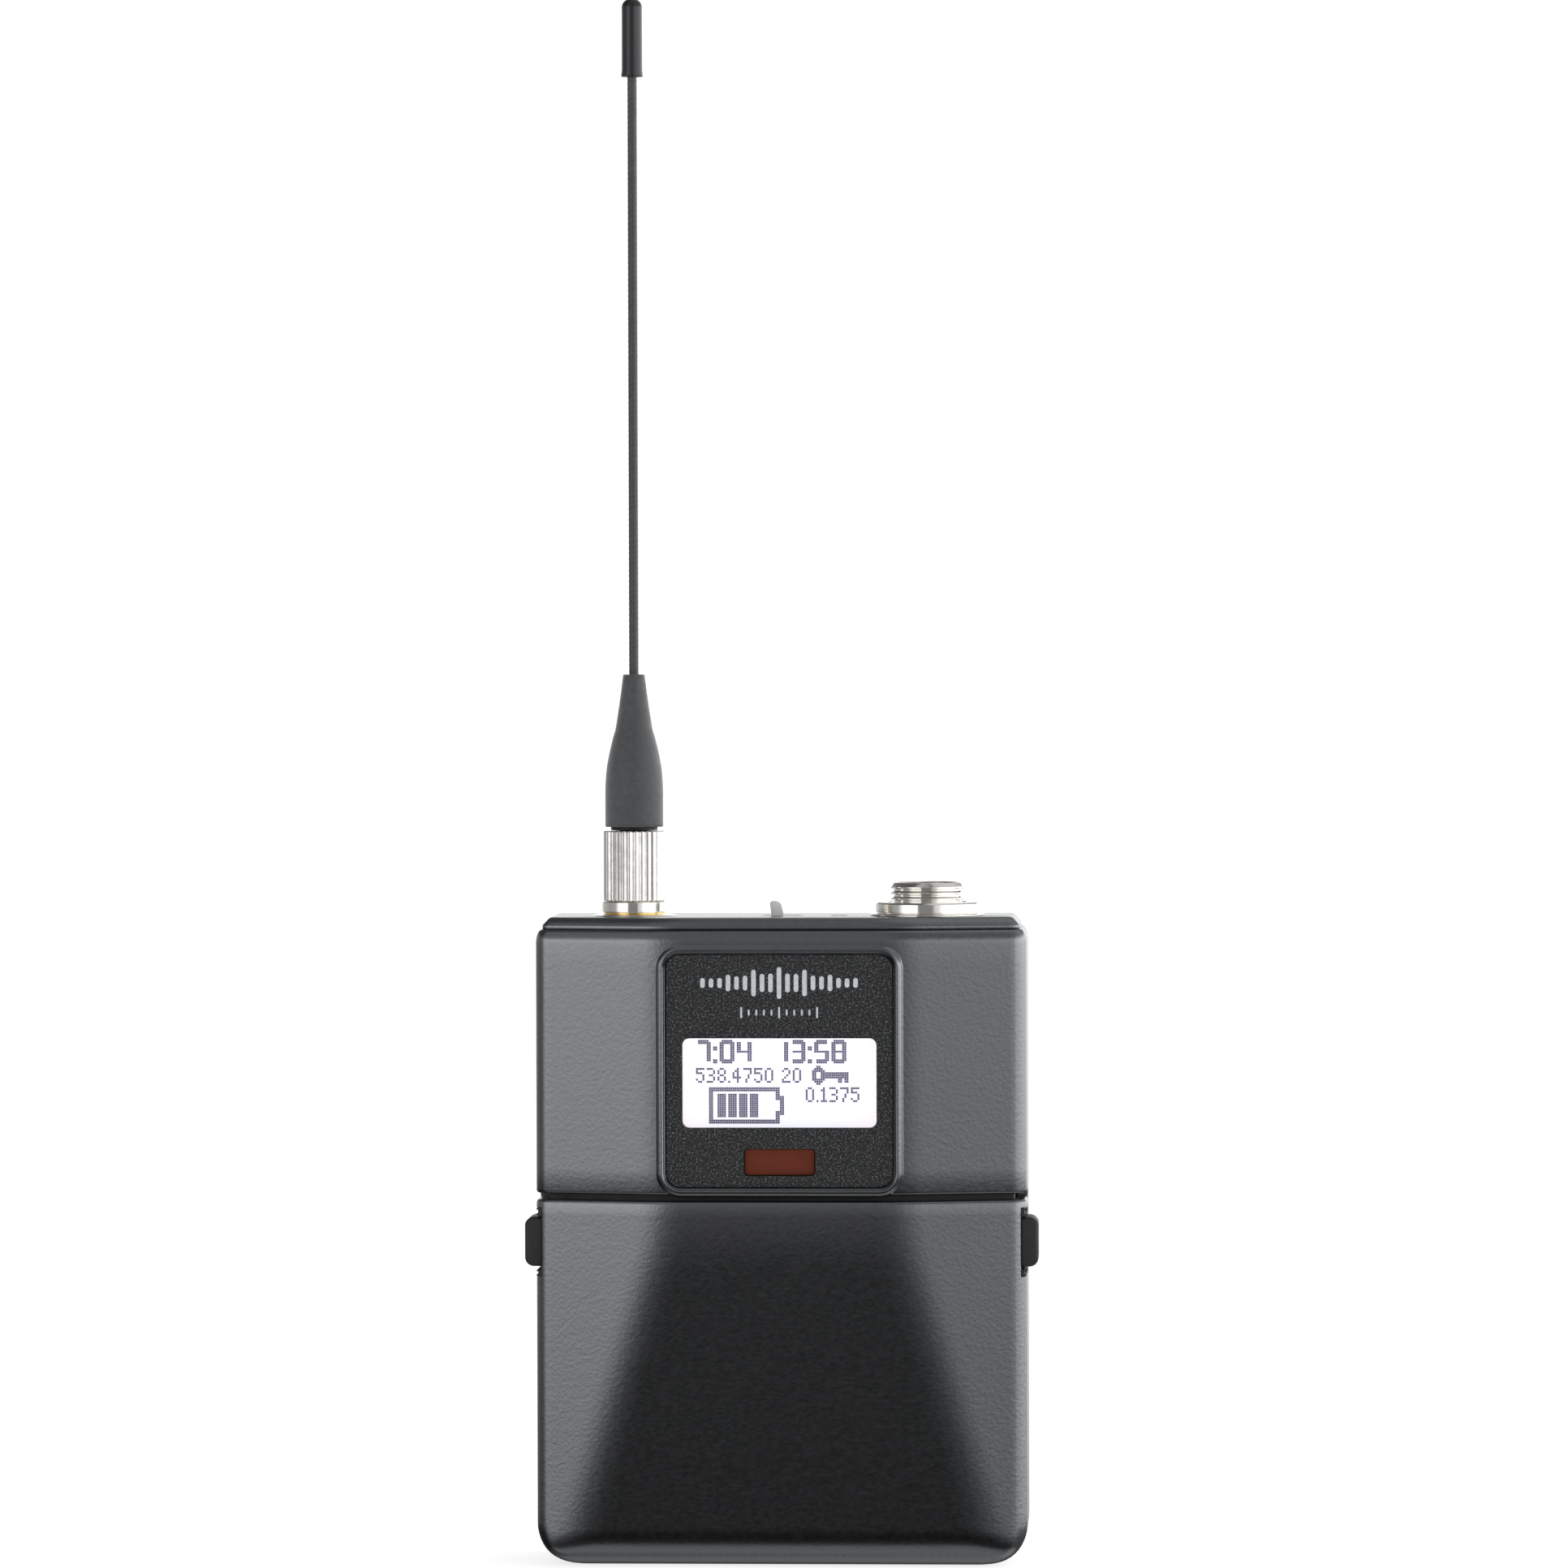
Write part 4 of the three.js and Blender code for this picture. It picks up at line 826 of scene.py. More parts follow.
def make_front_housing():
    bottom = lip(UPPER_BOTTOM, PARTING_LIP, 1)
    top = list(reversed(lip(HOUSING_TOP, TOP_LIP_HEIGHT, -1, 8, TOP_LIP_DEPTH)))
    middle = [(z, 0.0) for z in straight_heights(bottom[-1][0], top[0][0], 3 * MM)]
    solid = case_body(bottom + middle + top)
    seat = rounded_rectangle(PANEL_WIDTH + 0.3 * MM, PANEL_HEIGHT + 0.3 * MM, PANEL_ROUND + 0.1 * MM)
    opening = rounded_rectangle(PANEL_WIDTH - 2.3 * MM, PANEL_HEIGHT - 2.3 * MM, 1 * MM)
    lifted = [[(x, z + PANEL_Z) for x, z in outline] for outline in (seat, opening)]
    shell = carved(
        solid,
        box((-WIDE, SEAM_Y, 0), (WIDE, 0.03, 0.1)),
        room_inside(UPPER_BOTTOM - 2 * MM, HOUSING_TOP + 2 * MM),
        prism_y(lifted[0], FACE_Y - 2 * MM, PANEL_BACK + 0.05 * MM),
        prism_y(lifted[1], FACE_Y - 2 * MM, FACE_Y + 3 * MM),
    )
    shelf = box(
        (-HALF_WIDTH + WALL, FACE_Y + WALL, UPPER_BOTTOM),
        (HALF_WIDTH - WALL, FACE_Y + WALL + 4.5 * MM, UPPER_BOTTOM + WALL),
    )
    shelf = carved(shelf, room_inside(UPPER_BOTTOM - 2 * MM, HOUSING_TOP), operation="INTERSECT")
    bosses = [rod_y(x, (FACE_Y + 3.9 * MM, 8.2 * MM), z, 2.2 * MM) for x, z in SCREW_PLACES]
    housing = merged(shell, rim_ring(), shelf, *bosses)
    piece("front_shell", housing, PAINT, "case", ["front_housing"])


def make_gap_shade_strip():
    """A strip inside the parting gap, which hides the room behind it; its black is painted shade for the
    dark gap.
    """
    heights = (DOOR_TOP - 0.9 * MM, UPPER_BOTTOM + 0.4 * MM)
    outer = case_body([(z, WALL + 0.12 * MM) for z in heights])
    inner = case_body([(z, WALL + 0.7 * MM) for z in (heights[0] - 1 * MM, heights[1] + 1 * MM)])
    strip = carved(outer, inner, box((-WIDE, -1 * MM, 0), (WIDE, 0.03, 0.1)))
    # Painted shade: the strip is black so that the parting gap reads dark.
    piece("gap_shade_strip", strip, BLACK, "case")


def make_rear_housing():
    heights = foot_heights() + straight_heights(FOOT_CORNER_ROUND, HOUSING_TOP - TOP_LIP_HEIGHT, 6 * MM)
    levels = [(z, 0.0) for z in heights]
    levels += reversed(lip(HOUSING_TOP, TOP_LIP_HEIGHT, -1, 8, TOP_LIP_DEPTH))
    solid = case_body(levels)
    rear_y = SEAM_Y + SEAM_GAP
    tools = [
        box((-WIDE, -0.03, SIDE_STEP_Z), (WIDE, rear_y, 0.1)),
        box((-WIDE, -0.03, -0.01), (WIDE, FOOT_STRIP_Y, SIDE_STEP_Z + 1 * MM)),
        room_inside(WALL, HOUSING_TOP + 2 * MM),
    ]
    tools += [rod_y(x, (SCREW_SEAT - 0.4 * MM, 0.013), z, 2.3 * MM) for x, z in SCREW_PLACES]
    shell = carved(solid, *tools)
    pads = []
    for x, z in SCREW_PLACES:
        pad = lathe(mm((1.2, 0), (2.9, 0), (2.9, 1.9), (1.2, 1.9)), sides=40)
        turn = Matrix.Translation((x, SCREW_SEAT + 0.2 * MM, z)) @ Matrix.Rotation(math.pi / 2, 4, "X")
        pads.append(moved(pad, turn))
    housing = merged(shell, *pads, *hinge_ears())
    piece("rear_shell", housing, PAINT, "case", ["rear_housing"])


def hinge_ears():
    """The strip behind the door's heel, and at each side a hinge ear on its arm, cut to the case's form."""
    inset = 0.02 * MM
    form_heights = foot_heights(inset) + [SIDE_STEP_Z + 1 * MM]
    outer_form = case_body([(z, inset) for z in form_heights])
    cove = arc((HINGE_Y, HINGE_Z), math.hypot(DOOR_HEEL, HINGE_Z) + 0.04 * MM, -70.3, -4, 10)
    cove += [(FOOT_STRIP_Y + 0.4 * MM, cove[-1][1]), (FOOT_STRIP_Y + 0.4 * MM, 0)]
    strip = loft([[(x, y, z) for y, z in cove] for x in (-HALF_WIDTH, HALF_WIDTH)])
    ears = [carved(strip, outer_form, operation="INTERSECT")]
    arm = [
        (HINGE_Y, HINGE_Z + 0.6 * MM),
        (FOOT_STRIP_Y, HINGE_Z + 1.6 * MM),
        (FOOT_STRIP_Y, WALL / 3),
        (FOOT_STRIP_Y + WALL, WALL / 3),
        (FOOT_STRIP_Y + WALL, EAR_TOP_Z),
        (HINGE_Y, EAR_TOP_Z),
    ]
    for sign in (-1, 1):
        span = side_span(sign, HINGE_BARREL_HALF + 0.3 * MM, EAR_END_X)
        ears.append(rod_x(span, HINGE_Y, HINGE_Z, EAR_R, edge=0.15 * MM))
        plate = loft([[(x, y, z) for y, z in arm] for x in span])
        ears.append(carved(plate, outer_form, operation="INTERSECT"))
    return ears


def make_top_cap():
    """The cap: a narrow upright edge, a chamfer all round and a flat top."""
    chamfer_top = CASE_TOP - 0.06 * MM
    chamfer_bottom = chamfer_top - CAP_CHAMFER
    rows = lip(CAP_BOTTOM, 0.06 * MM, 1, 2)
    rows += [(chamfer_bottom - 0.08 * MM, 0.0), (chamfer_bottom, 0.03 * MM)]
    rows += [(chamfer_top - 0.1 * MM, CAP_CHAMFER - 0.1 * MM), (chamfer_top, CAP_CHAMFER + 0.06 * MM)]
    rows += [(CASE_TOP, CAP_CHAMFER + 0.3 * MM)]
    half_width = CAP_HALF_WIDTH + FACE_INSET
    solid = case_body([(z, inset + FACE_INSET) for z, inset in rows], half_width=half_width)
    through = (CAP_BOTTOM - 1 * MM, CASE_TOP + 1 * MM)
    cap = carved(
        solid,
        rod_z(ANTENNA_X, 0, through, ANTENNA_HOLE_R, sides=48),
        rod_z(INPUT_X, 0, through, INPUT_HOLE_R, sides=64),
        rod_z(LED_X, 0, through, LED_HOLE_R),
        prism_z(rounded_rectangle(5.5 * MM, 1.9 * MM, 0.9 * MM), *through),
    )
    ribs = []
    for sign in (-1, 1):
        middle = sign * 28.2 * MM
        low = (middle - 0.6 * MM, -5.5 * MM, 82.4 * MM)
        ribs.append(box(low, (middle + 0.6 * MM, 7.5 * MM, CAP_BOTTOM)))
    piece("cap", merged(cap, *ribs), PAINT, "case", ["top_cap"])


make_door()
make_door_guides()
make_front_housing()
make_gap_shade_strip()
make_rear_housing()
make_top_cap()

# ---------- Display ----------


def make_panel():
    outline = rounded_rectangle(PANEL_WIDTH, PANEL_HEIGHT, PANEL_ROUND, 8, (0, PANEL_Z))
    plate = prism_y(outline, PANEL_FRONT, PANEL_BACK, 0.14 * MM)
    screen = rounded_rectangle(SCREEN_WIDTH, SCREEN_HEIGHT, 0.93 * MM, 6, (0, SCREEN_Z))
    infrared = rounded_rectangle(INFRARED_WIDTH, INFRARED_HEIGHT, 0.5 * MM, 5, (0, INFRARED_Z))
    tools = [prism_y(hole, PANEL_FRONT - 1 * MM, PANEL_BACK + 1 * MM) for hole in (screen, infrared)]
    piece("grained_panel", carved(plate, *tools), PANEL, "case", ["display_panel"])


def make_infrared_window():
    size = (INFRARED_WIDTH - 0.2 * MM, INFRARED_HEIGHT - 0.2 * MM)
    outline = rounded_rectangle(*size, 0.45 * MM, 5, (0, INFRARED_Z))
    window = prism_y(outline, -10.55 * MM, -9 * MM, 0.12 * MM)
    piece("red_window", window, RED, "case", ["infrared_window"])


def capsule(x, z, width, height, y, thickness):
    """A thin printed stroke with round ends."""
    outline = rounded_rectangle(width, height, min(width, height) / 2 * 0.98, 4, (x, z))
    return prism_y(outline, y, y + thickness)


def make_panel_symbol():
    """A generic sound wave over a row of ticks, printed on the panel."""
    ink = 0.03 * MM
    bars = []
    count = 19
    for index in range(count):
        place = index - (count - 1) / 2
        swell = math.exp(-((place / 6.2) ** 2))
        height = (0.9 + 3.3 * swell * abs(math.cos(place * 1.05))) * MM
        bars.append(capsule(place * 1.12 * MM, SYMBOL_Z, 0.62 * MM, height, PANEL_FRONT - ink, 0.05 * MM))
    for index in range(11):
        height = (1.5 if index % 5 == 0 else 0.8) * MM
        x = (index - 5) * MM
        bars.append(capsule(x, SYMBOL_Z - 3.9 * MM, 0.26 * MM, height, PANEL_FRONT - ink, 0.05 * MM))
    piece("panel_symbol", merged(*bars), PRINT, "case")


# Each small digit is seven rows of four dots
DIGITS = {
    "0": "0110 1001 1001 1001 1001 1001 0110",
    "1": "010 110 010 010 010 010 111",
    "2": "0110 1001 0001 0010 0100 1000 1111",
    "3": "1110 0001 0001 0110 0001 0001 1110",
    "4": "0010 0110 1010 1010 1111 0010 0010",
    "5": "1111 1000 1110 0001 0001 1001 0110",
    "7": "1111 0001 0001 0010 0010 0100 0100",
    "8": "0110 1001 1001 0110 1001 1001 0110",
    ".": "0 0 0 0 0 0 1",
    " ": "00 00 00 00 00 00 00",
}

# The strokes of each large digit: top, upper left and right, middle, lower left and right, foot
STROKES = {"0": "tlrLRf", "1": "rR", "3": "trmRf", "4": "lrmR", "5": "tlmRf", "7": "trR", "8": "tlrmLRf"}
STROKE_BOXES = {
    "t": ((1, 0), (5, 2)),
    "l": ((0, 1), (2, 5)),
    "r": ((5, 1), (2, 5)),
    "m": ((1, 5), (5, 1)),
    "L": ((0, 5), (2, 5)),
    "R": ((5, 5), (2, 5)),
    "f": ((1, 9), (5, 2)),
}


def area(corner, size):
    return {(corner[0] + u, corner[1] + v) for u in range(size[0]) for v in range(size[1])}


def fill(dots, corner, size):
    dots |= area(corner, size)


def clear(dots, corner, size):
    dots -= area(corner, size)


def write_small(dots, text, column, row):
    for character in text:
        rows = DIGITS[character].split()
        for down, line in enumerate(rows):
            dots.update((column + across, row + down) for across, lit in enumerate(line) if lit == "1")
        column += len(rows[0]) + 1


def write_large(dots, text, column, row):
    for character in text:
        if character == ":":
            fill(dots, (column, row + 3), (2, 2))
            fill(dots, (column, row + 9), (2, 2))
            column += 3
            continue
        for stroke in STROKES[character]:
            (left, top), size = STROKE_BOXES[stroke]
            fill(dots, (column + left, row + top), size)
        column += 8


def draw_battery(dots, column, row):
    fill(dots, (column, row), (33, 17))
    clear(dots, (column + 2, row + 2), (29, 13))
    fill(dots, (column + 33, row + 4), (2, 9))
    clear(dots, (column + 31, row + 6), (2, 5))
    for bar in range(4):
        fill(dots, (column + 4 + bar * 5, row + 3), (4, 11))


def draw_key(dots, column, row):
    fill(dots, (column + 1, row + 1), (4, 7))
    fill(dots, (column, row + 2), (6, 5))
    fill(dots, (column + 2, row), (2, 9))
    clear(dots, (column + 2, row + 3), (2, 3))
    fill(dots, (column + 6, row + 3), (11, 3))
    fill(dots, (column + 12, row + 6), (2, 2))
    fill(dots, (column + 15, row + 6), (2, 2))


def make_screen():
    dots = set()
    write_large(dots, "7:04", 6, 1)
    write_large(dots, "13:58", 42, 1)
    write_small(dots, "538.4750 20", 6, 14)
    draw_key(dots, 60, 13)
    draw_battery(dots, 12, 23)
    write_small(dots, "0.1375", 57, 23)
    left = -SCREEN_WIDTH / 2 + DOT_PITCH / 2
    top = SCREEN_Z + SCREEN_HEIGHT / 2 - DOT_PITCH / 2
    half = DOT_PITCH * 0.46
    boxes = []
    for column, row in sorted(dots):
        x = left + column * DOT_PITCH
        z = top - row * DOT_PITCH
        low = (x - half, SCREEN_FRONT - 0.02 * MM, z - half)
        boxes.append(box(low, (x + half, SCREEN_FRONT, z + half)))
    piece("screen_dots", merged(*boxes), DOTS, "case")


make_panel()
make_infrared_window()
make_panel_symbol()
make_screen()

# ---------- Latches ----------


def to_side(mesh, sign):
    """Turns a mesh made for the right side half round, for the left side."""
    if sign < 0:
        about = Matrix.Translation((0, LATCH_Y, 0)) @ Matrix.Rotation(math.pi, 4, "Z")
        moved(mesh, about @ Matrix.Translation((0, -LATCH_Y, 0)))
    return mesh


def make_latch(name, sign):
    """A press tab with rounded edges, and its plate and spring post behind the slot."""
    half = LATCH_HEIGHT / 2
    cut = 0.7 * MM
    corners = [
        (LATCH_INNER_X, -half),
        (LATCH_OUTER_X - cut, -half),
        (LATCH_OUTER_X, -half + cut),
        (LATCH_OUTER_X, half - cut),
        (LATCH_OUTER_X - cut, half),
        (LATCH_INNER_X, half),
    ]
    loops = [[(x, LATCH_Y + side * LATCH_DEPTH / 2, LATCH_Z + z) for x, z in corners] for side in (-1, 1)]
    tab = rounded(loft(loops), 0.45 * MM, 4, 20)
    low = (LATCH_INNER_X - 1.1 * MM, LATCH_Y - 2.2 * MM, LATCH_Z - half - 0.8 * MM)
    high = (LATCH_INNER_X + 0.1 * MM, LATCH_Y + 3 * MM, LATCH_Z + half + 0.8 * MM)
    plate = rounded(box(low, high), 0.2 * MM)
    post_x = (LATCH_INNER_X - 3 * MM, LATCH_INNER_X - 1 * MM)
    post = rod_x(post_x, LATCH_Y, LATCH_Z, 0.9 * MM, edge=0.15 * MM)
    latch = to_side(merged(tab, plate, post), sign)
    piece(f"{name}_tab", latch, TAB, name, [name])


def coil(length, turns, start_radius, end_radius, wire_radius, steps=20):
    """A coil spring along +X from the origin."""
    points = []
    count = turns * steps
    for index in range(count + 1):
        t = index / count
        angle = 2 * math.pi * turns * t
        radius = start_radius + (end_radius - start_radius) * t
        points.append((length * t, radius * math.cos(angle), radius * math.sin(angle)))
    return wire(points, wire_radius, 8)


def make_latch_spring(name, sign):
    spring = coil(SPRING_END_X - SPRING_START_X, 5, 1.5 * MM, 1.5 * MM, 0.2 * MM)
    moved(spring, Matrix.Translation((SPRING_START_X, LATCH_Y, LATCH_Z)))
    to_side(spring, sign)
    side = "right" if sign > 0 else "left"
    shown = piece(f"coil_{side}", spring, STEEL, "case", [name])
    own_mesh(shown)


for side_name, side_sign in (("right", 1), ("left", -1)):
    make_latch(f"latch_{side_name}", side_sign)
    make_latch_spring(f"latch_spring_{side_name}", side_sign)

# ---------- Sockets and switch ----------


def ring_profile(inner, outer, bottom, top, chamfer):
    return [
        (inner, bottom),
        (outer - chamfer, bottom),
        (outer, bottom + chamfer),
        (outer, top - chamfer),
        (outer - chamfer, top),
        (inner + chamfer, top),
        (inner, top - chamfer),
    ]


def make_input_socket():
    centre = (INPUT_X, 0)
    outer = 4.95 * MM
    root = outer - 0.4 * MM
    bore = 4.1 * MM
    crests = 4
    start = INPUT_TOP - 0.35 * MM - crests * THREAD_PITCH
    profile = mm((4.1, 78.6), (4.7, 78.6), (4.7, 82.9), (5.9, 82.9), (5.9, 84.25), (4.95, 84.25))
    profile.append((outer, start - 0.15 * MM))
    for turn in range(crests):
        z = start + turn * THREAD_PITCH
        profile += [(root, z + 0.06 * MM), (root, z + 0.2 * MM)]
        profile += [(outer, z + 0.42 * MM), (outer, z + 0.55 * MM)]
    profile += [(root + 0.1 * MM, INPUT_TOP - 0.1 * MM), (root, INPUT_TOP), (bore + 0.1 * MM, INPUT_TOP)]
    profile += [(bore, INPUT_TOP - 0.1 * MM)]
    piece("input_socket", lathe(profile, centre, 96), NICKEL, "case", ["input_jack_shell"], 25)
    washer = ring_profile(5.3 * MM, 7.6 * MM, 86.02 * MM, 86.28 * MM, 0.06 * MM)
    piece("input_washer", lathe(washer, centre, 96), NICKEL, "case", ["input_jack_washer"])
    nut = ring_profile(5.3 * MM, 7 * MM, 86.3 * MM, 87.8 * MM, 0.22 * MM)
    piece("input_nut", lathe(nut, centre, 96), NICKEL, "case", ["input_jack_nut"])
    for index, angle in enumerate((45, 135, 225, 315)):
        x = INPUT_X + PIN_CIRCLE_R * math.cos(math.radians(angle))
        y = PIN_CIRCLE_R * math.sin(math.radians(angle))
        profile = mm((0, 77.6), (0.45, 77.6), (0.45, 88.6), (0.4, 88.8), (0.25, 88.95), (0, 89))
        name = f"input_pin_{index + 1}"
        piece(f"socket_pin_{index + 1}", lathe(profile, (x, y), 24), GOLD, "case", [name])


def make_switch():
    """A slider with a slanted round top, on its wide foot."""
    foot = box((SWITCH_X - 1.3 * MM, -0.75 * MM, 81.3 * MM), (SWITCH_X + 1.3 * MM, 0.75 * MM, 83.4 * MM))
    corners = [(-0.6, 83.2), (0.8, 83.2), (0.98, 85.9), (0.62, 87.5), (0.36, 87.75), (-0.06, 87.9)]
    corners += [(-0.66, 87.93), (-0.88, 87.7), (-0.66, 85.9)]
    loops = [[(SWITCH_X + x * MM, side * 0.65 * MM, z * MM) for x, z in corners] for side in (-1, 1)]
    lever = rounded(loft(loops), 0.22 * MM, 3, 25)
    knob = merged(rounded(foot, 0.15 * MM), lever)
    piece("switch_lever", knob, KNOB, "power_switch", ["power_switch_knob"])


def make_light():
    profile = mm((0, 80), (0.95, 80), (0.95, 83.2), (1.7, 83.2), (1.7, 84.25), (0.95, 84.25))
    profile += mm((0.95, 85.6), (0.8, 85.85), (0.5, 85.97), (0, 86))
    piece("power_light", lathe(profile, (LED_X, 0), 32), PIPE, "case", ["power_led_lens"])


make_input_socket()
make_switch()
make_light()

# ---------- Antenna ----------


def make_antenna_socket():
    centre = (ANTENNA_X, 0)
    crest = 3.1 * MM
    root = 2.85 * MM
    profile = mm((0, 79.5), (2.6, 79.5), (2.6, 82.8), (4.2, 82.8), (4.2, 84.25), (3.1, 84.25))
    z = 88.5 * MM
    while z < 93.6 * MM:
        profile += [(crest, z), (root, z + 0.18 * MM), (root, z + 0.3 * MM), (crest, z + 0.48 * MM)]
        z += ANTENNA_PITCH
    profile += mm((3, 94.2), (1.3, 94.2), (1.3, 88), (0, 88))
    piece("antenna_socket", lathe(profile, centre, 64), GOLD, "case", ["antenna_jack"], 50)
    washer = mm((3.4, 86.02), (5.5, 86.02), (5.45, 86.1), (4.5, 86.3), (3.5, 86.4), (3.4, 86.36))
    piece("antenna_washer", lathe(washer, centre, 72), NICKEL, "case", ["antenna_jack_washer"])
    glint = ring_profile(3.4 * MM, 4.06 * MM, 86.3 * MM, 86.6 * MM, 0.04 * MM)
    piece("antenna_gold_seat", lathe(glint, centre, 72), GOLD, "case")
    nut = ring_profile(3.4 * MM, 4.37 * MM, 86.5 * MM, 87.93 * MM, 0.1 * MM)
    piece("antenna_ring_nut", lathe(nut, centre, 72), NICKEL, "case", ["antenna_jack_nut"])


def make_antenna_nut():
    """A round nut with flutes all round, open below."""
    centre = (ANTENNA_X, 0)
    depth = 0.24 * MM

    def fluted(radius, z, angle):
        if radius < NUT_R - 0.5 * MM:
            return radius
        ridge = abs(math.sin(angle * NUT_FLUTES / 2))
        return radius - depth * (1 - ridge)

    profile = [(3.45 * MM, NUT_BOTTOM), (NUT_R - 0.1 * MM, NUT_BOTTOM), (NUT_R, NUT_BOTTOM + 0.1 * MM)]
    profile += [(NUT_R, NUT_TOP - 0.12 * MM), (NUT_R - 0.12 * MM, NUT_TOP)]
    profile += [(2.2 * MM, NUT_TOP), (2.2 * MM, 95.6 * MM), (3.45 * MM, 95.6 * MM)]
    nut = lathe(profile, centre, NUT_FLUTES * 12, fluted)
    piece("knurled_nut", nut, SATIN_NICKEL, "antenna_nut", ["antenna_nut"], 25)


def make_boot():
    """The collar and the moulded boot, which swells to a shoulder and then tapers to the whip."""
    centre = (ANTENNA_X, 0)
    shelf = NUT_TOP + 0.1 * MM
    top = BOOT_BOTTOM - 0.05 * MM
    profile = mm((0, 94.45), (3.15, 94.45), (3.15, 95.3), (1.9, 95.3))
    profile += [(1.9 * MM, shelf), (3.1 * MM, shelf), (3.1 * MM, top), (0, top)]
    collar = lathe(profile, centre, 64)
    piece("antenna_collar", collar, BLACK, "antenna", ["antenna_ferrule"])
    outline = mm((3.8, 97.85), (3.85, 97.95), (3.85, 98.5), (3.85, 100.5), (3.85, 102.4), (3.82, 103.6))
    outline += mm((3.74, 104.8), (3.6, 106), (3.38, 107.2), (3.1, 108.5), (2.8, 109.7), (2.52, 110.6))
    outline += mm((2.36, 111.4), (2.18, 112.6), (1.96, 114), (1.74, 115.6), (1.54, 117.2), (1.45, 117.9))
    outline += mm((1.38, 118.08))
    profile = [(WHIP_BORE_R, BOOT_BOTTOM), *outline, (WHIP_BORE_R, BOOT_TOP)]
    piece("boot", lathe(profile, centre, 72), BOOT, "antenna", ["antenna_boot"], 50)


def make_whip():
    """A cable wound from strands under a thin jacket: a lobed section that twists as it rises."""
    bottom = BOOT_BOTTOM + 0.3 * MM
    top = TIP_TOP - 2.7 * MM
    sides = 28
    lay = 5.2 * MM
    strands = 7
    count = int((top - bottom) / (0.16 * MM))
    loops = []
    for level in range(count + 1):
        z = bottom + (top - bottom) * level / count
        loop = []
        for step in range(sides):
            angle = 2 * math.pi * step / sides
            lobe = abs(math.cos((angle - 2 * math.pi * z / lay) * strands / 2))
            radius = WHIP_R * (0.93 + 0.09 * lobe)
            loop.append((ANTENNA_X + radius * math.cos(angle), radius * math.sin(angle), z))
        loops.append(loop)
    piece("whip_cable", loft(loops), JACKET, "antenna", ["antenna_whip"], 60)


def make_tip():
    profile = [(WHIP_BORE_R, TIP_BOTTOM), (TIP_R + 0.05 * MM, TIP_BOTTOM)]
    profile += [(TIP_R + 0.08 * MM, TIP_BOTTOM + 0.25 * MM), (TIP_R, TIP_BOTTOM + 0.8 * MM)]
    profile.append((TIP_R - 0.02 * MM, TIP_TOP - 1.6 * MM))
    dome = 1.2 * MM
    for angle in (0, 15, 30, 45, 60, 72, 82):
        turn = math.radians(angle)
        profile.append((TIP_R * math.cos(turn), TIP_TOP - dome + dome * math.sin(turn)))
    bore_top = TIP_TOP - 2.5 * MM
    profile += [(0, TIP_TOP), (0, bore_top), (WHIP_BORE_R, bore_top)]
    piece("tip_cap", lathe(profile, (ANTENNA_X, 0), 48), TIP, "antenna", ["antenna_tip"], 50)


make_antenna_socket()
make_antenna_nut()
make_boot()
make_whip()
make_tip()

# ---------- Back: screws and belt clip ----------


def screw(head_radius, head_height, shank_radius, length):
    """A pan-headed screw along +Z with a cross recess, its seat at the origin."""
    profile = [(0, -length), (shank_radius * 0.4, -length), (shank_radius, -length + 0.8 * MM)]
    z = -length + 0.9 * MM
    while z < -0.6 * MM:
        profile += [(shank_radius * 0.78, z), (shank_radius, z + 0.18 * MM)]
        z += 0.4 * MM
    profile += [(shank_radius, 0), (head_radius - 0.1 * MM, 0), (head_radius, 0.12 * MM)]
    profile += [(head_radius, head_height * 0.45), (head_radius * 0.92, head_height * 0.75)]
    profile += [(head_radius * 0.75, head_height * 0.95), (head_radius * 0.55, head_height)]
    profile.append((0, head_height))
    arm = head_radius * 0.62
    half = 0.24 * MM
    floor = head_height - 0.55 * MM
    slots = [box((-arm, -half, floor), (arm, half, head_height + 1 * MM))]
    slots.append(box((-half, -arm, floor), (half, arm, head_height + 1 * MM)))
    return carved(lathe(profile, sides=40), *slots)


def make_screws():
    for index, (x, z) in enumerate(SCREW_PLACES):
        made = screw(2 * MM, 1 * MM, 0.72 * MM, 6.5 * MM)
        turn = Matrix.Rotation(-math.pi / 2, 4, "X") @ Matrix.Rotation(0.4 + index, 4, "Z")
        moved(made, Matrix.Translation((x, SCREW_SEAT + 0.05 * MM, z)) @ turn)
        name = f"housing_screw_{index + 1}"
        piece(f"case_screw_{index + 1}", made, STEEL, "case", [name])
    for index, sign in enumerate((-1, 1)):
        made = screw(2.1 * MM, 1.2 * MM, 0.9 * MM, 3.4 * MM)
        turn = Matrix.Rotation(-math.pi / 2, 4, "X") @ Matrix.Rotation(1.1 * index + 0.3, 4, "Z")
        seat = BACK_Y + 1.07 * MM
        moved(made, Matrix.Translation((sign * 6 * MM, seat, CLIP_PIVOT_Z - 1 * MM)) @ turn)
        name = f"clip_screw_{index + 1}"
        piece(f"bracket_screw_{index + 1}", made, STEEL, "case", [name])


def bend(start, middle, end, steps):
    """A curve from start to end that is drawn towards middle."""
    path = []
    for step in range(steps + 1):
        t = step / steps
        path.append(start * (1 - t) ** 2 + middle * 2 * t * (1 - t) + end * t**2)
    return path


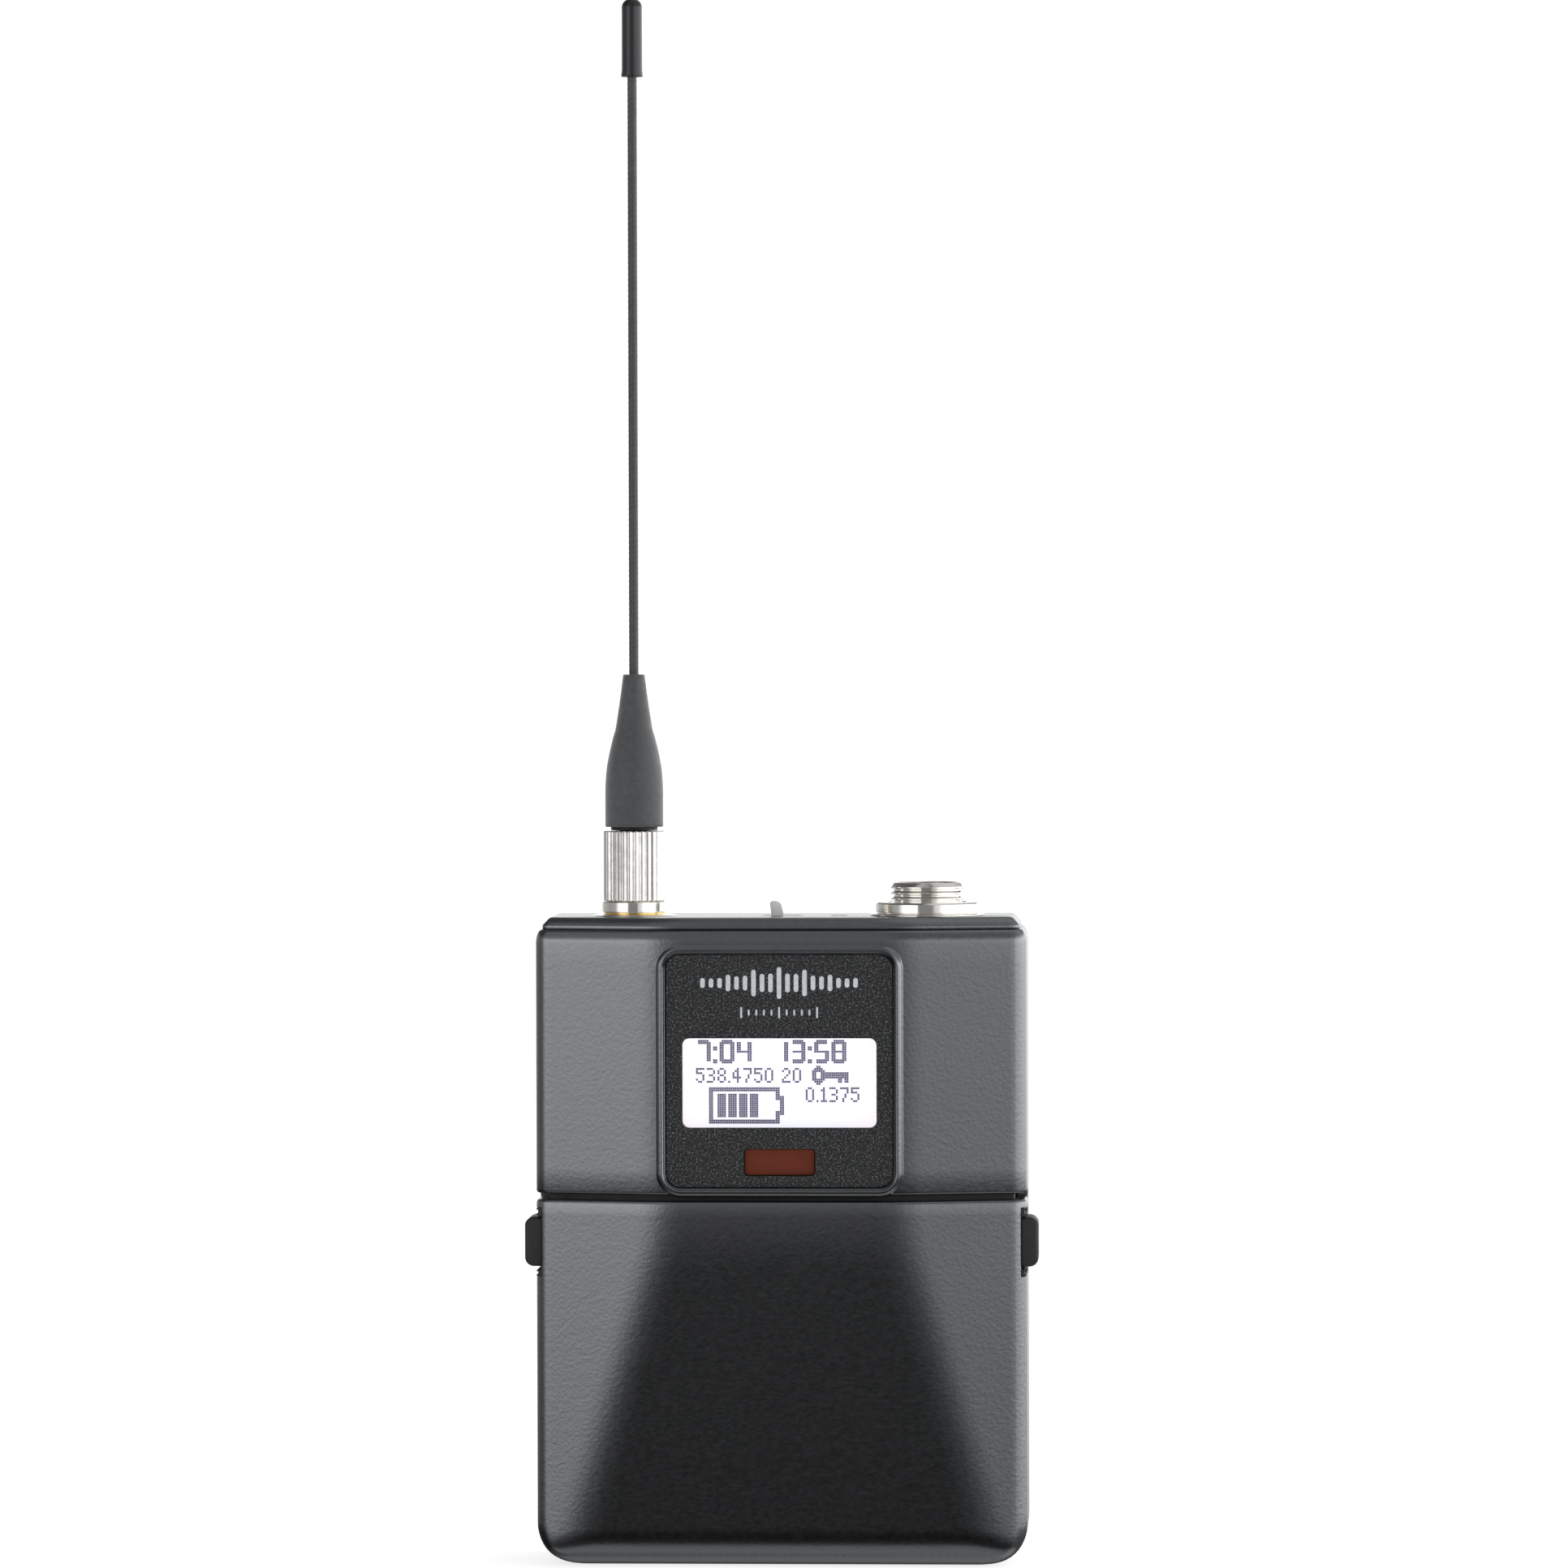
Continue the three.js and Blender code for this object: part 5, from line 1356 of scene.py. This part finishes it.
def make_clip():
    """One length of wire: out of the bracket, down each side and across below."""
    foot_y, foot_z = 19 * MM, 23 * MM
    right = [
        (BRACKET_HALF - 3 * MM, CLIP_PIVOT_Y, CLIP_PIVOT_Z),
        (CLIP_ARM_X - 2 * MM, CLIP_PIVOT_Y, CLIP_PIVOT_Z),
        (CLIP_ARM_X, CLIP_PIVOT_Y, CLIP_PIVOT_Z),
        (CLIP_ARM_X, CLIP_PIVOT_Y + 0.8 * MM, CLIP_PIVOT_Z - 2 * MM),
        (CLIP_ARM_X, 17.8 * MM, 62 * MM),
        (CLIP_ARM_X, 17.6 * MM, 52 * MM),
        (CLIP_ARM_X, 17.3 * MM, 36 * MM),
        (CLIP_ARM_X, 17 * MM, foot_z + 2 * MM),
        (CLIP_ARM_X - 7 * MM, foot_y, foot_z),
    ]
    corners = [Vector(point) for point in right]
    path = [corners[0]]
    for first, steps in ((1, 14), (3, 20), (6, 24)):
        path += bend(*corners[first : first + 3], steps)
    path += [Vector((-point.x, point.y, point.z)) for point in reversed(path)]
    made = wire(path, CLIP_WIRE_R, 20)
    piece("clip_wire", made, CLIP, "belt_clip", ["belt_clip"], 50)


make_screws()
make_clip()

# ---------- Batteries and keys ----------


CELL_SHIFT = TRAY_INNER_X - 0.1 * MM - 0.45 * MM - CELL_LENGTH / 2


def cell_place(z, turned):
    return Matrix.Translation((0, CELL_Y, z)) @ Matrix.Rotation(math.pi if turned else 0, 4, "Z")


def make_cell(name, z, turned):
    """An AA cell with its wrapper, its raised button and its flat base."""
    half = CELL_LENGTH / 2
    shoulder = half - 1.3 * MM
    place = cell_place(z, turned)
    place = place @ Matrix.Translation((CELL_SHIFT, 0, 0)) @ Matrix.Rotation(math.pi / 2, 4, "Y")
    wrap = [
        (CELL_R - 0.9 * MM, -half + 0.05 * MM),
        (CELL_R - 0.25 * MM, -half),
        (CELL_R, -half + 0.25 * MM),
        (CELL_R, shoulder - 0.25 * MM),
        (CELL_R - 0.25 * MM, shoulder),
        (CELL_R - 1.1 * MM, shoulder - 0.05 * MM),
        (CELL_R - 1.1 * MM, shoulder - 0.4 * MM),
        (CELL_R - 0.9 * MM, -half + 0.4 * MM),
    ]
    body = moved(lathe(wrap, sides=72), place)
    piece(f"{name}_wrap", body, WRAPPER, "case", [name], 50)
    rim = CELL_R - 1.2 * MM
    can = [(0, -half + 0.12 * MM), (rim, -half + 0.12 * MM), (rim, shoulder - 0.2 * MM)]
    can += [(3 * MM, shoulder - 0.2 * MM), (2.75 * MM, shoulder), (2.7 * MM, half - 0.3 * MM)]
    can += [(2.4 * MM, half - 0.02 * MM), (0, half)]
    piece(f"{name}_can", moved(lathe(can, sides=48), place), STEEL, "case", (), 50)


def make_contact_spring(name, z, turned):
    start = -(TRAY_INNER_X - 0.1 * MM) + 0.35 * MM
    end = CELL_SHIFT - CELL_LENGTH / 2 - 0.4 * MM
    spring = coil(end - start, 4, 3.6 * MM, 2.2 * MM, 0.3 * MM, 24)
    moved(spring, cell_place(z, turned) @ Matrix.Translation((start, 0, 0)))
    piece(f"{name}_coil", spring, NICKEL, "case", [name], 50)


def make_key(index):
    x = (index - 2.5) * KEY_SPACING
    outline = rounded_rectangle(6.4 * MM, 3.8 * MM, 0.8 * MM, 6, (x, KEY_Z))
    cap = prism_y(outline, -6.2 * MM, -2.6 * MM, 0.35 * MM, 5)
    low = (x - 3.8 * MM, -2.7 * MM, KEY_Z - 2.5 * MM)
    flange = rounded(box(low, (x + 3.8 * MM, -1.9 * MM, KEY_Z + 2.5 * MM)), 0.15 * MM)
    dimple = prism_y(rounded_rectangle(2.2 * MM, 0.5 * MM, 0.24 * MM, 5, (x, KEY_Z)), -7 * MM, -6.05 * MM)
    name = f"menu_key_{index}"
    piece(f"key_cap_{index}", merged(carved(cap, dimple), flange), KEY, name, [name])


CELLS = [("upper", UPPER_CELL_Z, False), ("lower", LOWER_CELL_Z, True)]
for place_name, cell_z, is_turned in CELLS:
    make_cell(f"battery_{place_name}", cell_z, is_turned)
for place_name, cell_z, is_turned in CELLS:
    make_contact_spring(f"battery_spring_{place_name}", cell_z, is_turned)
for key_number in (1, 2, 3, 4):
    make_key(key_number)

# ---------- CAD nodes that stay as they are ----------

# Node, material and how far its edges are eased, in mm
KEPT_NODES = [
    ("lcd_module", SCREEN, 0),
    ("display_window", WINDOW, 0),
    ("backlight_plate", PIPE, 0),
    ("display_board", BOARD, 0),
    ("main_board", BOARD, 0),
    ("infrared_diode", BLACK, 0.1),
    ("rf_shield", STEEL, 0.1),
    ("key_frame", BLACK, 0.15),
    ("battery_tray", BLACK, 0.2),
    ("power_switch_body", STEEL, 0.1),
    ("input_jack_insert", BLACK, 0.1),
    ("antenna_contact_pin", GOLD, 0.1),
    ("clip_bracket", STEEL, 0.2),
    ("battery_contact_upper", NICKEL, 0.1),
    ("battery_contact_lower", NICKEL, 0.1),
    ("door_hinge_pin_left", STEEL, 0.1),
    ("door_hinge_pin_right", STEEL, 0.1),
]

for kept_node, kept_material, eased in KEPT_NODES:
    finish_node(kept_node, kept_material, eased * MM)

# ---------- Stage, light and camera ----------


def make_floor():
    half = 4.0
    corners = [(-half, -half, 0), (half, -half, 0), (half, half, 0), (-half, half, 0)]
    floor = placed("floor", mesh_of(corners, [(0, 1, 2, 3)]))
    nodes = Nodes("floor_white")
    material = nodes.finish(
        Base_Color=nodes.blend(nodes.spread(nodes.noise(0.4), 0, 1), grey(0.86), grey(0.9)),
        Roughness=0.8,
        Specular_IOR_Level=0.1,
        Emission_Color=grey(1),
        Emission_Strength=0.75,
    )
    floor.data.materials.append(material)
    floor.visible_glossy = False


def make_backdrop():
    """A white dome far off, seen only by the camera."""
    form = bmesh.new()
    bmesh.ops.create_uvsphere(form, u_segments=48, v_segments=24, radius=5.5)
    mesh = bpy.data.meshes.new("backdrop")
    form.to_mesh(mesh)
    form.free()
    dome = placed("backdrop", mesh)
    nodes = Nodes("backdrop_white")
    material = nodes.finish(
        Base_Color=grey(0),
        Roughness=1.0,
        Specular_IOR_Level=0.0,
        Emission_Color=grey(1),
        Emission_Strength=1.05,
    )
    dome.data.materials.append(material)
    dome.visible_diffuse = False
    dome.visible_glossy = False
    dome.visible_transmission = False
    dome.visible_shadow = False


def ramp(tree, value, stops):
    """Turns a value from 0 to 1 into a brightness, by (value, brightness) stops."""
    node = tree.add("ShaderNodeValToRGB", {"Fac": value})
    elements = node.color_ramp.elements
    node.color_ramp.interpolation = "EASE"
    while len(elements) < len(stops):
        elements.new(0.5)
    for element, (position, level) in zip(elements, stops):
        element.position = position
        element.color = grey(level)
    return node.outputs["Color"]


def make_studio():
    """Soft studio light as a world: a bright wall to each side, a dark gap where the camera stands."""
    world = bpy.data.worlds.new("studio")
    bpy.context.scene.world = world
    world.use_nodes = True
    world.node_tree.nodes.clear()
    tree = Tree(world.node_tree)
    out = tree.add("ShaderNodeOutputWorld")
    background = tree.add("ShaderNodeBackground", {"Strength": 1.0})
    tree.set(out.inputs["Surface"], background.outputs["Background"])
    direction = tree.add("ShaderNodeTexCoord").outputs["Generated"]
    gradient = tree.add("ShaderNodeTexGradient", {"Vector": direction}, gradient_type="RADIAL")
    around = gradient.outputs["Fac"]
    upward = tree.add("ShaderNodeSeparateXYZ", {"Vector": direction}).outputs["Z"]
    height = tree.add("ShaderNodeMapRange", {"Value": upward, "From Min": -1}).outputs["Result"]

    def turn(azimuth):
        """Place on the radial ramp of a compass direction, 0 in front and positive to the right."""
        return (0.25 + azimuth / 360) % 1

    def level(elevation):
        return (math.sin(math.radians(elevation)) + 1) / 2

    walls = [
        (0.0, 0.3),
        (turn(-68), 0.35),
        (turn(-48), 1.26),
        (turn(-20), 1.26),
        (turn(-16), 0.4),
        (turn(11), 0.4),
        (turn(24), 0.72),
        (turn(44), 1.6),
        (turn(100), 2.0),
        (turn(180), 1.25),
        (turn(235), 0.4),
        (1.0, 0.3),
    ]
    side_light = ramp(tree, around, walls)
    gap = ramp(tree, around, [(turn(-21), 1), (turn(-18), 0), (turn(12), 0), (turn(16), 1)])
    side_height = [(0, 0.35), (level(-50), 0.3), (level(-40), 0.08), (level(-10), 0.1), (level(-2.5), 1.05)]
    side_height += [(level(10), 1.3), (level(20), 0.3), (1, 0.3)]
    gap_height = [(0, 0.42), (level(-58), 0.38), (level(-48), 0.03), (level(-13), 0.0), (level(-4), 0.2)]
    gap_height += [(level(5), 0.3), (level(30), 0.3), (1, 0.3)]
    mix = {"data_type": "RGBA"}
    walls_lit = tree.add("ShaderNodeMix", {"Factor": 1, 6: side_light}, blend_type="MULTIPLY", **mix)
    tree.set(walls_lit.inputs[7], ramp(tree, height, side_height))
    whole = tree.add("ShaderNodeMix", {"Factor": gap, 7: walls_lit.outputs[2]}, **mix)
    tree.set(whole.inputs[6], ramp(tree, height, gap_height))
    tree.set(background.inputs["Color"], whole.outputs[2])


def make_camera():
    """A long lens a metre away, a little above the object's middle and to its right."""
    camera = bpy.data.cameras.new("camera")
    camera.lens = 174.8
    camera.sensor_width = 36
    camera.clip_start = 0.01
    camera.clip_end = 20
    eye = placed("camera", camera)
    eye.matrix_world = (
        Matrix.Translation((47.6 * MM, FACE_Y - 1, 122.3 * MM))
        @ Matrix.Rotation(math.radians(2.683), 4, "Z")
        @ Matrix.Rotation(math.radians(90 - 1.065), 4, "X")
        @ Matrix.Rotation(math.radians(-0.155), 4, "Z")
    )
    bpy.context.scene.camera = eye


make_floor()
make_backdrop()
make_studio()
make_camera()
bpy.context.scene.view_settings.view_transform = "Standard"
